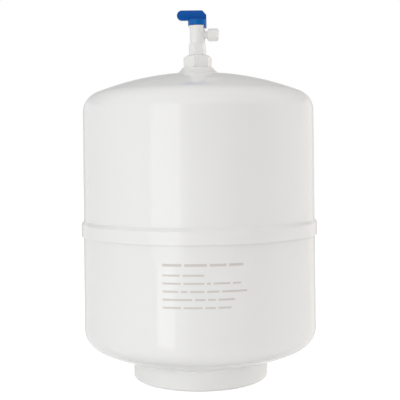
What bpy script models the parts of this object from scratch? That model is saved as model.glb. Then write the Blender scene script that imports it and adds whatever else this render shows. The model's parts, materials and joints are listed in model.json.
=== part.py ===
"""Reverse osmosis storage tank: a small steel pressure tank with a quarter-turn angle valve on its port.

Metres, +Z up. The origin is the bottom centre of the base ring. The valve's lever points to -X when open,
its tube outlet points to +X, and the air valve is at the back, on +Y.
"""

import math

import bmesh
import bpy
from mathutils import Matrix, Vector

# Clearances and faceting
FIT = 0.0003  # between pieces that touch
LOOSE_FIT = 0.0005  # between the nested bowls inside the tank
RUNNING_FIT = 0.0003  # round the turning parts of the valve
MERGE = 0.00005
SHELL_SEGMENTS = 36
SMALL_SEGMENTS = 24
TINY_SEGMENTS = 16
NECK_STEPS = 3
CROWN_STEPS = 4
KNUCKLE_STEPS = 4

# Steel shells: two bowls lapped at the belly
BODY_RADIUS = 0.1400
SHELL_WALL = 0.0010
UPPER_TANGENT_Z = 0.3203
UPPER_KNUCKLE = 0.0250
UPPER_CROWN = 0.3300
LOWER_RADIUS = BODY_RADIUS + 0.0004
LOWER_TANGENT_Z = 0.0600
LOWER_KNUCKLE = 0.0235
LOWER_CROWN = 0.3000
BAND_STEP = 0.0030  # of the skirt, out from the side
BAND_RADIUS = BODY_RADIUS + BAND_STEP
BAND_BOTTOM_Z = 0.1718
BAND_HEIGHT = 0.0142
JOGGLE_HEIGHT = 0.0045
RIM_SETBACK = 0.0010  # from the joggle down to the lower bowl's rim
FLARE_START = 0.0010  # above the band's lower edge
FLARE_HEIGHT = 0.0027

# Drawn-up neck round the port
NECK_RADIUS = 0.0188
NECK_RISE = 0.0062  # above the crown
NECK_FILLET = 0.0150
PORT_HOLE_RADIUS = 0.0074

# Base ring
RING_RADIUS = 0.0814
RING_WALL = 0.0016
RING_FOOT = 0.0055
RING_BEND = 0.0024

# Bladder parts inside
LINER_WALL = 0.0020
DIAPHRAGM_WALL = 0.0020
CLENCH_WALL = 0.0010
CLENCH_INNER_HEIGHT = 0.0120
CLENCH_OUTER_HEIGHT = 0.0090

# Port nipple and its nut
NIPPLE_RADIUS = 0.00685
NIPPLE_BORE = 0.0040
NIPPLE_FLANGE_RADIUS = 0.0155
NIPPLE_FLANGE = 0.0025
NIPPLE_REACH = 0.0100  # thread standing above the nut
GASKET_RADIUS = 0.0145
GASKET = 0.0015
PORT_NUT_FLATS = 0.0312
PORT_NUT_HEIGHT = 0.0147
PORT_NUT_CHAMFER_RADIUS = 0.0132
PORT_NUT_CHAMFER_HEIGHT = 0.0034
PORT_NUT_TURN = math.radians(15.0)  # of a corner from +X

# Angle valve body
VALVE_SEAT_GAP = 0.0005
VALVE_HEX_FLATS = 0.0190
VALVE_HEX_HEIGHT = 0.0140
VALVE_HEX_CHAMFER = 0.0010
VALVE_HEX_TURN = math.radians(8.0)  # of a corner from +X
VALVE_RADIUS = 0.0093
OUTLET_HEIGHT = 0.0249  # of the outlet's axis above the hexagon's foot
COLLAR_RADIUS = 0.0112
COLLAR_START = 0.0074  # above the outlet's axis
COLLAR_HEIGHT = 0.0036
BOSS_RADIUS = 0.0086
BOSS_HEIGHT = 0.0050
THREAD_PORT_RADIUS = 0.0071
THREAD_PORT_DEPTH = 0.0120

# Ball, seats and stem
BALL_RADIUS = 0.0065
BALL_BORE = 0.0024
CAVITY_RADIUS = 0.00685
CAVITY_CLEARANCE = 0.0006  # above the ball
SEAT_RADIUS = 0.0046
SEAT_INNER = 0.0050  # from the valve's axis
SEAT_OUTER = 0.0077
INLET_SEAT_HEIGHT = 0.0026
RETAINER_HEIGHT = 0.0026
STEM_RADIUS = 0.0032
STEM_COLLAR_RADIUS = 0.0052
STEM_COLLAR = 0.0018
STEM_GROOVE_DEPTH = 0.0009
STEM_GROOVE_WIDTH = 0.0018
STEM_RING_RADIUS = 0.00045
DRIVE_SIDE = 0.0040
DRIVE_HEIGHT = 0.0062
TANG_THICKNESS = 0.0016
TANG_WIDTH = 0.0080
TANG_DEPTH = 0.0017  # into the ball

# Handle
SKIRT_RADIUS = 0.0114
SKIRT_WALL = 0.0022
SKIRT_GAP = 0.0004
SKIRT_HEIGHT = 0.0076
HANDLE_CORNER = 0.0008
LEVER_THICKNESS = 0.0066
LEVER_HEIGHT = 0.0123
LEVER_DROP = 0.0014  # the lever's underside below the skirt's top
LEVER_REACH = 0.0249
LEVER_TAIL = 0.0112
LEVER_SLOPE_RUN = 0.0050
LEVER_SLOPE_DROP = 0.0056
LEVER_EDGE = 0.0009
STOP_WALL = 0.0014
STOP_HEIGHT = 0.0032
STOP_FIRST = math.radians(-41.0)
STOP_LAST = math.radians(20.0)
STOP_MARGIN = math.radians(3.0)
QUARTER_TURN = math.radians(90.0)

# Tube outlet: threaded arm, ferrule and nut
ARM_NECK_RADIUS = 0.0043
ARM_THREAD_RADIUS = 0.0054
ARM_THREAD_START = 0.0134
ARM_THREAD_END = 0.0194
TUBE_SOCKET_RADIUS = 0.0033
TUBE_SOCKET_START = 0.0122
MOUTH_RADIUS = 0.0043
MOUTH_DEPTH = 0.0012
FERRULE_RADIUS = 0.0047
FERRULE_LENGTH = 0.0032
OUTLET_NUT_FLATS = 0.0140
OUTLET_NUT_START = 0.0124
OUTLET_NUT_LENGTH = 0.0142
OUTLET_NUT_TAPER = 0.0034
OUTLET_NUT_SMALL_RADIUS = 0.0063
OUTLET_NUT_CHAMFER = 0.0024
OUTLET_NUT_FACE_RADIUS = 0.0052
OUTLET_HOLE_RADIUS = 0.0034

# Air valve on the lower bowl's shoulder
AIR_TILT = math.radians(60.0)  # below the horizontal
AIR_HOLE_RADIUS = 0.0046
AIR_THREAD_RADIUS = 0.00385
AIR_BORE = 0.0025
AIR_BORE_STEP = 0.0017
AIR_SPRING_SEAT = 0.0020
AIR_HEAD_RADIUS = 0.0075
AIR_HEAD = 0.0020
AIR_SEAL = 0.0016
AIR_SEAL_DROP = 0.0030  # of the seal's face below the outer skin, clear of the bowl's curve
AIR_NUT_FLATS = 0.0120
AIR_NUT_HEIGHT = 0.0038
AIR_NUT_SET = 0.0002  # the nut's face below the skin's highest point
AIR_LENGTH = 0.0160
AIR_CORE_RADIUS = 0.0022
AIR_CORE_LENGTH = 0.0060
AIR_CORE_START = 0.0090
AIR_PIN_RADIUS = 0.0008
AIR_PIN_TIP = 0.0154
POPPET_RADIUS = 0.0018
POPPET_HEIGHT = 0.0010
SPRING_RADIUS = 0.0014
SPRING_WIRE = 0.0002
SPRING_TURNS = 5
CAP_RADIUS = 0.0053
CAP_START = 0.0050
CAP_END = 0.0178
CAP_WALL_GAP = 0.0004

# Colours (linear), roughness and metallic value of each material
FINISHES = {
    "white_enamel": ((0.78, 0.78, 0.76), 0.15, 0.0),
    "white_plastic": ((0.76, 0.76, 0.73), 0.35, 0.0),
    "blue_plastic": ((0.0, 0.08, 0.38), 0.35, 0.0),
    "stainless": ((0.62, 0.61, 0.59), 0.3, 1.0),
    "galvanised": ((0.5, 0.51, 0.52), 0.45, 1.0),
    "liner_plastic": ((0.82, 0.82, 0.80), 0.5, 0.0),
    "black_rubber": ((0.02, 0.02, 0.02), 0.7, 0.0),
    "seat_white": ((0.88, 0.88, 0.86), 0.4, 0.0),
    "brass": ((0.62, 0.45, 0.18), 0.3, 1.0),
    "black_plastic": ((0.03, 0.03, 0.03), 0.45, 0.0),
}


# Scene helpers

def clear_scene():
    for piece in list(bpy.data.objects):
        bpy.data.objects.remove(piece)


def new_collection(name):
    collection = bpy.data.collections.new(name)
    bpy.context.scene.collection.children.link(collection)
    return collection


def make_materials():
    made = {}
    for name, (colour, roughness, metallic) in FINISHES.items():
        material = bpy.data.materials.new(name)
        material.use_nodes = True
        shader = material.node_tree.nodes["Principled BSDF"]
        shader.inputs["Base Color"].default_value = (*colour, 1.0)
        shader.inputs["Roughness"].default_value = roughness
        shader.inputs["Metallic"].default_value = metallic
        made[name] = material
    return made


def add_object(name, mesh, finish, parent=None, place=Matrix()):
    """Links a mesh as a named piece; finish is a material's name, or None for a cutter."""
    piece = bpy.data.objects.new(name, mesh)
    if finish is None:
        CUTTERS.objects.link(piece)
        piece.hide_render = True
        piece.display_type = "WIRE"
    else:
        PARTS.objects.link(piece)
        mesh.materials.append(MATERIALS[finish])
    piece.parent = parent
    piece.matrix_local = place
    return piece


def add_axis(name, place):
    """An empty that marks a joint's axis, which its pieces hang on."""
    empty = bpy.data.objects.new(name, None)
    empty.empty_display_size = 0.01
    PARTS.objects.link(empty)
    empty.matrix_world = place
    return empty


def boolean(piece, other, operation):
    modifier = piece.modifiers.new(operation.title(), "BOOLEAN")
    modifier.operation = operation
    modifier.solver = "EXACT"
    modifier.object = other


def smooth(piece, angle=35.0):
    piece.data.shade_smooth()
    piece.data.set_sharp_from_angle(angle=math.radians(angle))


# Shape helpers

def arc(centre, radius, start, end, steps):
    """Points on a circle arc from start to end, angles in radians from the first axis."""
    points = []
    for i in range(steps + 1):
        angle = start + (end - start) * i / steps
        points.append((centre[0] + radius * math.cos(angle), centre[1] + radius * math.sin(angle)))
    return points


def turned(name, outline, finish, segments, closed=True, parent=None, place=Matrix()):
    """Turns an outline of (radius, height) points about Z; the outline runs down its outer side."""
    mesh = bpy.data.meshes.new(name)
    edges = [(i, i + 1) for i in range(len(outline) - 1)]
    if closed:
        edges.append((len(outline) - 1, 0))
    mesh.from_pydata([(radius, 0.0, height) for radius, height in outline], edges, [])
    piece = add_object(name, mesh, finish, parent, place)
    screw = piece.modifiers.new("Turn", "SCREW")
    screw.steps = segments
    screw.render_steps = segments
    screw.use_merge_vertices = True
    screw.merge_threshold = MERGE
    screw.use_smooth_shade = True
    return piece


def shell(piece, wall):
    """Gives an open turned surface its wall, inwards."""
    modifier = piece.modifiers.new("Wall", "SOLIDIFY")
    modifier.thickness = wall
    modifier.offset = -1.0
    modifier.use_even_offset = True


def tube(name, outer, inner, low, high, finish, segments, parent=None, place=Matrix()):
    outline = [(outer, high), (outer, low), (inner, low), (inner, high)]
    return turned(name, outline, finish, segments, True, parent, place)


def rod(name, radius, low, high, finish, segments, parent=None, place=Matrix()):
    outline = [(0.0, high), (radius, high), (radius, low), (0.0, low)]
    return turned(name, outline, finish, segments, False, parent, place)


def hexagon(name, flats, low, high, turn, finish, parent=None, place=Matrix()):
    """A six-sided bar with a corner at the angle turn from +X."""
    mesh = bpy.data.meshes.new(name)
    shape = bmesh.new()
    corner = flats / 2 / math.cos(math.pi / 6)
    bmesh.ops.create_cone(shape, cap_ends=True, segments=6, radius1=corner, radius2=corner, depth=high - low)
    seat = Matrix.Translation((0.0, 0.0, (low + high) / 2)) @ Matrix.Rotation(turn - math.pi / 2, 4, "Z")
    bmesh.ops.transform(shape, matrix=seat, verts=shape.verts)
    shape.to_mesh(mesh)
    shape.free()
    return add_object(name, mesh, finish, parent, place)


def plate(name, outline, low, high, finish, parent=None, place=Matrix()):
    """A flat outline in X and Y, filled between two heights."""
    curve = bpy.data.curves.new(name + "_outline", "CURVE")
    curve.dimensions = "2D"
    curve.fill_mode = "BOTH"
    curve.extrude = (high - low) / 2
    line = curve.splines.new("POLY")
    line.points.add(len(outline) - 1)
    for point, (x, y) in zip(line.points, outline):
        point.co = (x, y, 0.0, 1.0)
    line.use_cyclic_u = True
    drawn = bpy.data.objects.new(name + "_outline", curve)
    PARTS.objects.link(drawn)
    bpy.context.view_layer.update()
    mesh = bpy.data.meshes.new_from_object(drawn.evaluated_get(bpy.context.evaluated_depsgraph_get()))
    mesh.name = name
    mesh.materials.clear()
    bpy.data.objects.remove(drawn)
    shape = bmesh.new()
    shape.from_mesh(mesh)
    bmesh.ops.remove_doubles(shape, verts=shape.verts, dist=MERGE)
    bmesh.ops.translate(shape, vec=(0.0, 0.0, (low + high) / 2), verts=shape.verts)
    bmesh.ops.recalc_face_normals(shape, faces=shape.faces)
    shape.to_mesh(mesh)
    shape.free()
    return add_object(name, mesh, finish, parent, place)


def sector(name, inner, outer, first, last, low, high, finish, parent=None):
    """A piece of a flat ring between two angles from +X."""
    steps = max(4, round((last - first) / math.radians(12)))
    outline = arc((0.0, 0.0), outer, first, last, steps) + arc((0.0, 0.0), inner, last, first, steps)
    return plate(name, outline, low, high, finish, parent)


def box(name, size, centre, finish, parent=None, place=Matrix()):
    mesh = bpy.data.meshes.new(name)
    shape = bmesh.new()
    bmesh.ops.create_cube(shape, size=1.0)
    bmesh.ops.scale(shape, vec=size, verts=shape.verts)
    bmesh.ops.translate(shape, vec=centre, verts=shape.verts)
    shape.to_mesh(mesh)
    shape.free()
    return add_object(name, mesh, finish, parent, place)


def ball(name, radius, finish, segments, parent=None, place=Matrix()):
    mesh = bpy.data.meshes.new(name)
    shape = bmesh.new()
    bmesh.ops.create_uvsphere(shape, u_segments=segments, v_segments=segments // 2, radius=radius)
    shape.to_mesh(mesh)
    shape.free()
    return add_object(name, mesh, finish, parent, place)


# Heads of the tank: a crown and a knuckle, set in by an offset from the outer skin

def crown_centre(radius, tangent_z, knuckle, crown, way):
    drop = math.sqrt((crown - knuckle) ** 2 - (radius - knuckle) ** 2)
    return tangent_z - way * drop


def knuckle_sweep(radius, knuckle, crown):
    """Angle that the knuckle turns through, from the side up to the crown."""
    return math.acos((radius - knuckle) / (crown - knuckle))


UPPER_CENTRE_Z = crown_centre(BODY_RADIUS, UPPER_TANGENT_Z, UPPER_KNUCKLE, UPPER_CROWN, 1)
LOWER_CENTRE_Z = crown_centre(LOWER_RADIUS, LOWER_TANGENT_Z, LOWER_KNUCKLE, LOWER_CROWN, -1)
PORT_SEAT_Z = UPPER_CENTRE_Z + UPPER_CROWN + NECK_RISE
BAND_TOP_Z = BAND_BOTTOM_Z + BAND_HEIGHT
JOGGLE_TOP_Z = BAND_TOP_Z + JOGGLE_HEIGHT


def crown_arc(centre_z, crown, way, inner_radius, outer_radius):
    """The crown from its inner to its outer radius."""
    first = math.acos(inner_radius / crown) * way
    last = math.acos(outer_radius / crown) * way
    return arc((0.0, centre_z), crown, first, last, CROWN_STEPS)


def knuckle_arc(radius, tangent_z, knuckle, crown, way, offset):
    """The knuckle from the crown out to the straight side."""
    sweep = knuckle_sweep(radius, knuckle, crown)
    centre = (radius - knuckle, tangent_z)
    return arc(centre, knuckle - offset, way * sweep, 0.0, KNUCKLE_STEPS)


def upper_knuckle(offset):
    return knuckle_arc(BODY_RADIUS, UPPER_TANGENT_Z, UPPER_KNUCKLE, UPPER_CROWN, 1, offset)


def neck_arc(offset):
    """The concave flare from the port's flat seat down to the crown."""
    reach = UPPER_CROWN + NECK_FILLET
    rise = PORT_SEAT_Z - UPPER_CENTRE_Z
    span = math.hypot(NECK_RADIUS, rise)
    along = (reach**2 - NECK_FILLET**2 + span**2) / (2 * span)
    aside = math.sqrt(reach**2 - along**2)
    unit = (NECK_RADIUS / span, rise / span)
    centre = (unit[0] * along + unit[1] * aside, UPPER_CENTRE_Z + unit[1] * along - unit[0] * aside)
    radius = NECK_FILLET + offset
    below = centre[1] - (PORT_SEAT_Z - offset)
    first = math.pi + math.asin(below / radius)
    last = math.pi + math.atan2(centre[1] - UPPER_CENTRE_Z, centre[0])
    return arc(centre, radius, first, last, NECK_STEPS)


def upper_head(offset):
    """The upper head with its neck, from the seat's edge out to the straight side."""
    neck = neck_arc(offset)
    knuckle = upper_knuckle(offset)
    crown = crown_arc(UPPER_CENTRE_Z, UPPER_CROWN - offset, 1, neck[-1][0], knuckle[0][0])
    return neck + crown[1:] + knuckle[1:]


def lower_head():
    """The lower head, from the straight side in to the axis."""
    knuckle = knuckle_arc(LOWER_RADIUS, LOWER_TANGENT_Z, LOWER_KNUCKLE, LOWER_CROWN, -1, 0.0)
    crown = crown_arc(LOWER_CENTRE_Z, LOWER_CROWN, -1, 0.0, knuckle[0][0])
    outline = (crown + knuckle[1:])[::-1]
    outline[-1] = (0.0, outline[-1][1])
    return outline


def lower_skin_z(radius):
    """Height of the lower crown's outer skin at a radius."""
    return LOWER_CENTRE_Z - math.sqrt(LOWER_CROWN**2 - radius**2)


# Tank

def make_upper_shell():
    """The upper bowl: flat port seat, flared neck, domed head, side, and a skirt stepped out over the lower bowl."""
    outline = [(PORT_HOLE_RADIUS, PORT_SEAT_Z)]
    outline += upper_head(0.0)
    outline += [(BODY_RADIUS, JOGGLE_TOP_Z), (BAND_RADIUS, BAND_TOP_Z), (BAND_RADIUS, BAND_BOTTOM_Z)]
    piece = turned("upper_shell", outline, "white_enamel", SHELL_SEGMENTS, False)
    shell(piece, SHELL_WALL)


def rim_radius():
    """Outer radius of the lower bowl's rim, which the skirt grips."""
    return BAND_RADIUS - SHELL_WALL - FIT


def make_lower_shell(air_place):
    """The lower bowl: a flared rim inside the skirt, the side and the bottom head, with the air valve's hole."""
    flare = BAND_BOTTOM_Z + FLARE_START
    outline = [
        (rim_radius(), BAND_TOP_Z - RIM_SETBACK),
        (rim_radius(), flare + FLARE_HEIGHT),
        (LOWER_RADIUS, flare),
    ]
    outline += lower_head()
    piece = turned("lower_shell", outline, "white_enamel", SHELL_SEGMENTS, False)
    shell(piece, SHELL_WALL)
    reach = AIR_SEAL_DROP + AIR_SEAL
    hole = rod("air_hole_cutter", AIR_HOLE_RADIUS, -reach, reach, None, TINY_SEGMENTS, place=air_place)
    boolean(piece, hole, "DIFFERENCE")


def make_base_ring():
    """A pressed ring welded under the lower head, its foot turned inwards on a bend."""
    inner = RING_RADIUS - RING_WALL
    bend = (RING_RADIUS - RING_BEND, RING_BEND)
    outline = [(RING_RADIUS, lower_skin_z(RING_RADIUS) - FIT)]
    outline += arc(bend, RING_BEND, 0.0, -math.pi / 2, 3)
    outline += [(RING_RADIUS - RING_FOOT, 0.0), (RING_RADIUS - RING_FOOT, RING_WALL)]
    outline += arc(bend, RING_BEND - RING_WALL, -math.pi / 2, 0.0, 2)
    outline += [(inner, lower_skin_z(inner) - FIT)]
    turned("base_ring", outline, "white_enamel", SHELL_SEGMENTS)


def liner_offset():
    return SHELL_WALL + LOOSE_FIT


def diaphragm_offset():
    return liner_offset() + LINER_WALL + LOOSE_FIT


def clench_bottom_z():
    """The clench ring's foot, on the ledge that the lower bowl's flare makes inside."""
    return BAND_BOTTOM_Z + FLARE_START + FLARE_HEIGHT - SHELL_WALL * 0.7


def lip_bottom_z():
    return clench_bottom_z() + CLENCH_WALL + FIT


def make_water_liner():
    """The plastic bowl that lines the upper shell, up to the port."""
    offset = liner_offset()
    outline = [(PORT_HOLE_RADIUS, PORT_SEAT_Z - offset)]
    outline += upper_head(offset)
    outline += [(BODY_RADIUS - offset, lip_bottom_z())]
    piece = turned("water_liner", outline, "liner_plastic", SHELL_SEGMENTS, False)
    shell(piece, LINER_WALL)


def make_diaphragm():
    """The rubber bladder, held up against the liner by the air charge, as in an empty tank."""
    offset = diaphragm_offset()
    knuckle = upper_knuckle(offset)
    outline = crown_arc(UPPER_CENTRE_Z, UPPER_CROWN - offset, 1, 0.0, knuckle[0][0]) + knuckle[1:]
    outline[0] = (0.0, outline[0][1])
    outline += [(BODY_RADIUS - offset, lip_bottom_z())]
    piece = turned("diaphragm", outline, "black_rubber", SHELL_SEGMENTS, False)
    shell(piece, DIAPHRAGM_WALL)


def make_clench_ring():
    """A steel channel crimped round the lips of the liner and the diaphragm."""
    outer = BODY_RADIUS - liner_offset() + FIT
    inner = BODY_RADIUS - diaphragm_offset() - DIAPHRAGM_WALL - FIT
    low = clench_bottom_z()
    outline = [
        (outer + CLENCH_WALL, low + CLENCH_OUTER_HEIGHT),
        (outer + CLENCH_WALL, low),
        (inner - CLENCH_WALL, low),
        (inner - CLENCH_WALL, low + CLENCH_INNER_HEIGHT),
        (inner, low + CLENCH_INNER_HEIGHT),
        (inner, low + CLENCH_WALL),
        (outer, low + CLENCH_WALL),
        (outer, low + CLENCH_OUTER_HEIGHT),
    ]
    turned("clench_ring", outline, "galvanised", SHELL_SEGMENTS)


# Port

PORT_NUT_Z = PORT_SEAT_Z + FIT
VALVE_Z = PORT_NUT_Z + PORT_NUT_HEIGHT + VALVE_SEAT_GAP
NIPPLE_TOP_Z = PORT_NUT_Z + PORT_NUT_HEIGHT + NIPPLE_REACH
NIPPLE_BOTTOM_Z = PORT_SEAT_Z - liner_offset() - LINER_WALL - FIT - GASKET - FIT - NIPPLE_FLANGE


def make_port_nipple():
    """The stainless nipple, its flange under the liner and its thread up through the seat."""
    shoulder = NIPPLE_BOTTOM_Z + NIPPLE_FLANGE
    outline = [
        (NIPPLE_RADIUS, NIPPLE_TOP_Z),
        (NIPPLE_RADIUS, shoulder),
        (NIPPLE_FLANGE_RADIUS, shoulder),
        (NIPPLE_FLANGE_RADIUS, NIPPLE_BOTTOM_Z),
        (NIPPLE_BORE, NIPPLE_BOTTOM_Z),
        (NIPPLE_BORE, NIPPLE_TOP_Z),
    ]
    turned("port_nipple", outline, "stainless", SMALL_SEGMENTS)


def make_port_gasket():
    low = NIPPLE_BOTTOM_Z + NIPPLE_FLANGE + FIT
    tube("port_gasket", GASKET_RADIUS, NIPPLE_RADIUS + FIT, low, low + GASKET, "black_rubber", SMALL_SEGMENTS)


def make_port_nut():
    """The large hexagon nut, its top edge turned to a cone, screwed down on the port's seat."""
    top = PORT_NUT_Z + PORT_NUT_HEIGHT
    corner = PORT_NUT_FLATS / 2 / math.cos(math.pi / 6) + FIT
    nut = hexagon("port_nut", PORT_NUT_FLATS, PORT_NUT_Z, top, PORT_NUT_TURN, "white_plastic")
    outline = [
        (NIPPLE_RADIUS + FIT, top),
        (PORT_NUT_CHAMFER_RADIUS, top),
        (corner, top - PORT_NUT_CHAMFER_HEIGHT),
        (corner, PORT_NUT_Z),
        (NIPPLE_RADIUS + FIT, PORT_NUT_Z),
    ]
    blank = turned("port_nut_blank", outline, None, SMALL_SEGMENTS)
    boolean(nut, blank, "INTERSECT")


# Valve

BALL_Z = VALVE_Z + OUTLET_HEIGHT
COLLAR_TOP_Z = BALL_Z + COLLAR_START + COLLAR_HEIGHT
BOSS_TOP_Z = COLLAR_TOP_Z + BOSS_HEIGHT
CAVITY_TOP_Z = BALL_Z + BALL_RADIUS + CAVITY_CLEARANCE
STEM_COLLAR_TOP_Z = CAVITY_TOP_Z + STEM_COLLAR
SKIRT_Z = COLLAR_TOP_Z + SKIRT_GAP
SKIRT_TOP_Z = SKIRT_Z + SKIRT_HEIGHT
OUTLET_AXIS = Matrix.Translation((0.0, 0.0, BALL_Z)) @ Matrix.Rotation(math.pi / 2, 4, "Y")


def valve_blank(name, finish):
    """The valve body's turned outside: round barrel, flared collar and the boss inside the handle's skirt."""
    outline = [
        (0.0, BOSS_TOP_Z),
        (BOSS_RADIUS, BOSS_TOP_Z),
        (BOSS_RADIUS, COLLAR_TOP_Z),
        (COLLAR_RADIUS, COLLAR_TOP_Z),
        (VALVE_RADIUS, COLLAR_TOP_Z - COLLAR_HEIGHT),
        (VALVE_RADIUS, VALVE_Z + VALVE_HEX_CHAMFER),
        (0.0, VALVE_Z + VALVE_HEX_CHAMFER),
    ]
    return turned(name, outline, finish, SMALL_SEGMENTS, False)


def valve_hexagon():
    """The spanner hexagon at the foot, its corners eased at both ends."""
    top = VALVE_Z + VALVE_HEX_HEIGHT
    corner = VALVE_HEX_FLATS / 2 / math.cos(math.pi / 6)
    foot = hexagon("valve_hexagon_cutter", VALVE_HEX_FLATS, VALVE_Z, top, VALVE_HEX_TURN, None)
    outline = [
        (0.0, top),
        (corner - VALVE_HEX_CHAMFER, top),
        (corner, top - VALVE_HEX_CHAMFER),
        (corner, VALVE_Z + VALVE_HEX_CHAMFER),
        (corner - VALVE_HEX_CHAMFER, VALVE_Z),
        (0.0, VALVE_Z),
    ]
    boolean(foot, turned("valve_hexagon_blank", outline, None, SMALL_SEGMENTS, False), "INTERSECT")
    return foot


def valve_arm():
    """The outlet arm along +X: a neck and the thread for the nut."""
    outline = [
        (0.0, ARM_THREAD_END),
        (ARM_THREAD_RADIUS, ARM_THREAD_END),
        (ARM_THREAD_RADIUS, ARM_THREAD_START),
        (ARM_NECK_RADIUS, ARM_THREAD_START),
        (ARM_NECK_RADIUS, VALVE_RADIUS / 2),
        (0.0, VALVE_RADIUS / 2),
    ]
    return turned("valve_arm_cutter", outline, None, SMALL_SEGMENTS, False, place=OUTLET_AXIS)


def valve_cavity():
    """The way through the middle: threaded port, ball chamber, stem collar and stem bore."""
    port_top = VALVE_Z + THREAD_PORT_DEPTH
    collar = STEM_COLLAR_RADIUS + RUNNING_FIT
    bore = STEM_RADIUS + RUNNING_FIT
    outline = [
        (0.0, BOSS_TOP_Z + BOSS_HEIGHT),
        (bore, BOSS_TOP_Z + BOSS_HEIGHT),
        (bore, STEM_COLLAR_TOP_Z + RUNNING_FIT),
        (collar, STEM_COLLAR_TOP_Z + RUNNING_FIT),
        (collar, CAVITY_TOP_Z),
        (CAVITY_RADIUS, CAVITY_TOP_Z),
        (CAVITY_RADIUS, port_top),
        (THREAD_PORT_RADIUS, port_top),
        (THREAD_PORT_RADIUS, VALVE_Z - THREAD_PORT_DEPTH),
        (0.0, VALVE_Z - THREAD_PORT_DEPTH),
    ]
    return turned("valve_cavity_cutter", outline, None, SMALL_SEGMENTS, False)


def valve_outlet_bore():
    """The way out: seat pocket, waterway, tube socket and the cone that the ferrule closes on."""
    outline = [
        (0.0, ARM_THREAD_END + MOUTH_DEPTH),
        (MOUTH_RADIUS, ARM_THREAD_END + MOUTH_DEPTH),
        (MOUTH_RADIUS, ARM_THREAD_END),
        (TUBE_SOCKET_RADIUS, ARM_THREAD_END - MOUTH_DEPTH),
        (TUBE_SOCKET_RADIUS, TUBE_SOCKET_START),
        (BALL_BORE, TUBE_SOCKET_START),
        (BALL_BORE, SEAT_OUTER + FIT),
        (SEAT_RADIUS + FIT, SEAT_OUTER + FIT),
        (SEAT_RADIUS + FIT, 0.0),
        (0.0, 0.0),
    ]
    return turned("valve_outlet_cutter", outline, None, SMALL_SEGMENTS, False, place=OUTLET_AXIS)


def stop_recess():
    """The gap in the collar that the handle's stop travels in, a quarter turn and the stop's own width."""
    floor = SKIRT_RADIUS - STOP_WALL - RUNNING_FIT
    first = STOP_FIRST - STOP_MARGIN
    last = STOP_LAST + QUARTER_TURN + STOP_MARGIN
    low = SKIRT_Z - STOP_HEIGHT - RUNNING_FIT
    return sector("stop_recess_cutter", floor, SKIRT_RADIUS + STOP_WALL, first, last, low, BOSS_TOP_Z, None)


def make_valve_body():
    body = valve_blank("valve_body", "white_plastic")
    boolean(body, valve_hexagon(), "UNION")
    boolean(body, valve_arm(), "UNION")
    boolean(body, valve_cavity(), "DIFFERENCE")
    boolean(body, valve_outlet_bore(), "DIFFERENCE")
    boolean(body, stop_recess(), "DIFFERENCE")


def ball_clearance(name, place):
    return ball(name, BALL_RADIUS + RUNNING_FIT, None, TINY_SEGMENTS, place=place)


def make_seats():
    """The two soft seats that the ball turns on, and the ring that holds the lower one up."""
    bore = BALL_BORE + FIT
    clearance = ball_clearance("ball_clearance_cutter", Matrix.Translation((0.0, 0.0, BALL_Z)))
    outlet = tube("outlet_seat", SEAT_RADIUS, bore, SEAT_INNER, SEAT_OUTER, "seat_white", TINY_SEGMENTS, place=OUTLET_AXIS)
    boolean(outlet, clearance, "DIFFERENCE")
    radius = CAVITY_RADIUS - FIT
    top = BALL_Z - SEAT_INNER
    low = top - INLET_SEAT_HEIGHT
    inlet = tube("inlet_seat", radius, bore, low, top, "seat_white", TINY_SEGMENTS)
    boolean(inlet, clearance, "DIFFERENCE")
    high = low - FIT
    tube("ball_retainer", radius, bore, high - RETAINER_HEIGHT, high, "white_plastic", TINY_SEGMENTS)


def make_valve_ball(parent):
    """The ball, drilled from below and out to the side, with a slot on top for the stem."""
    piece = ball("valve_ball", BALL_RADIUS, "stainless", TINY_SEGMENTS, parent)
    far = BALL_RADIUS * 2
    up = rod("ball_inlet_cutter", BALL_BORE, -far, BALL_BORE * 0.8, None, TINY_SEGMENTS, parent)
    along = Matrix.Rotation(math.pi / 2, 4, "Y")
    out = rod("ball_outlet_cutter", BALL_BORE, -BALL_BORE * 0.8, far, None, TINY_SEGMENTS, parent, along)
    depth = TANG_DEPTH + FIT
    size = (far * 2, TANG_THICKNESS + 2 * FIT, 2 * depth)
    slot = box("ball_slot_cutter", size, (0.0, 0.0, BALL_RADIUS), None, parent)
    for cutter in (up, out, slot):
        boolean(piece, cutter, "DIFFERENCE")


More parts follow.
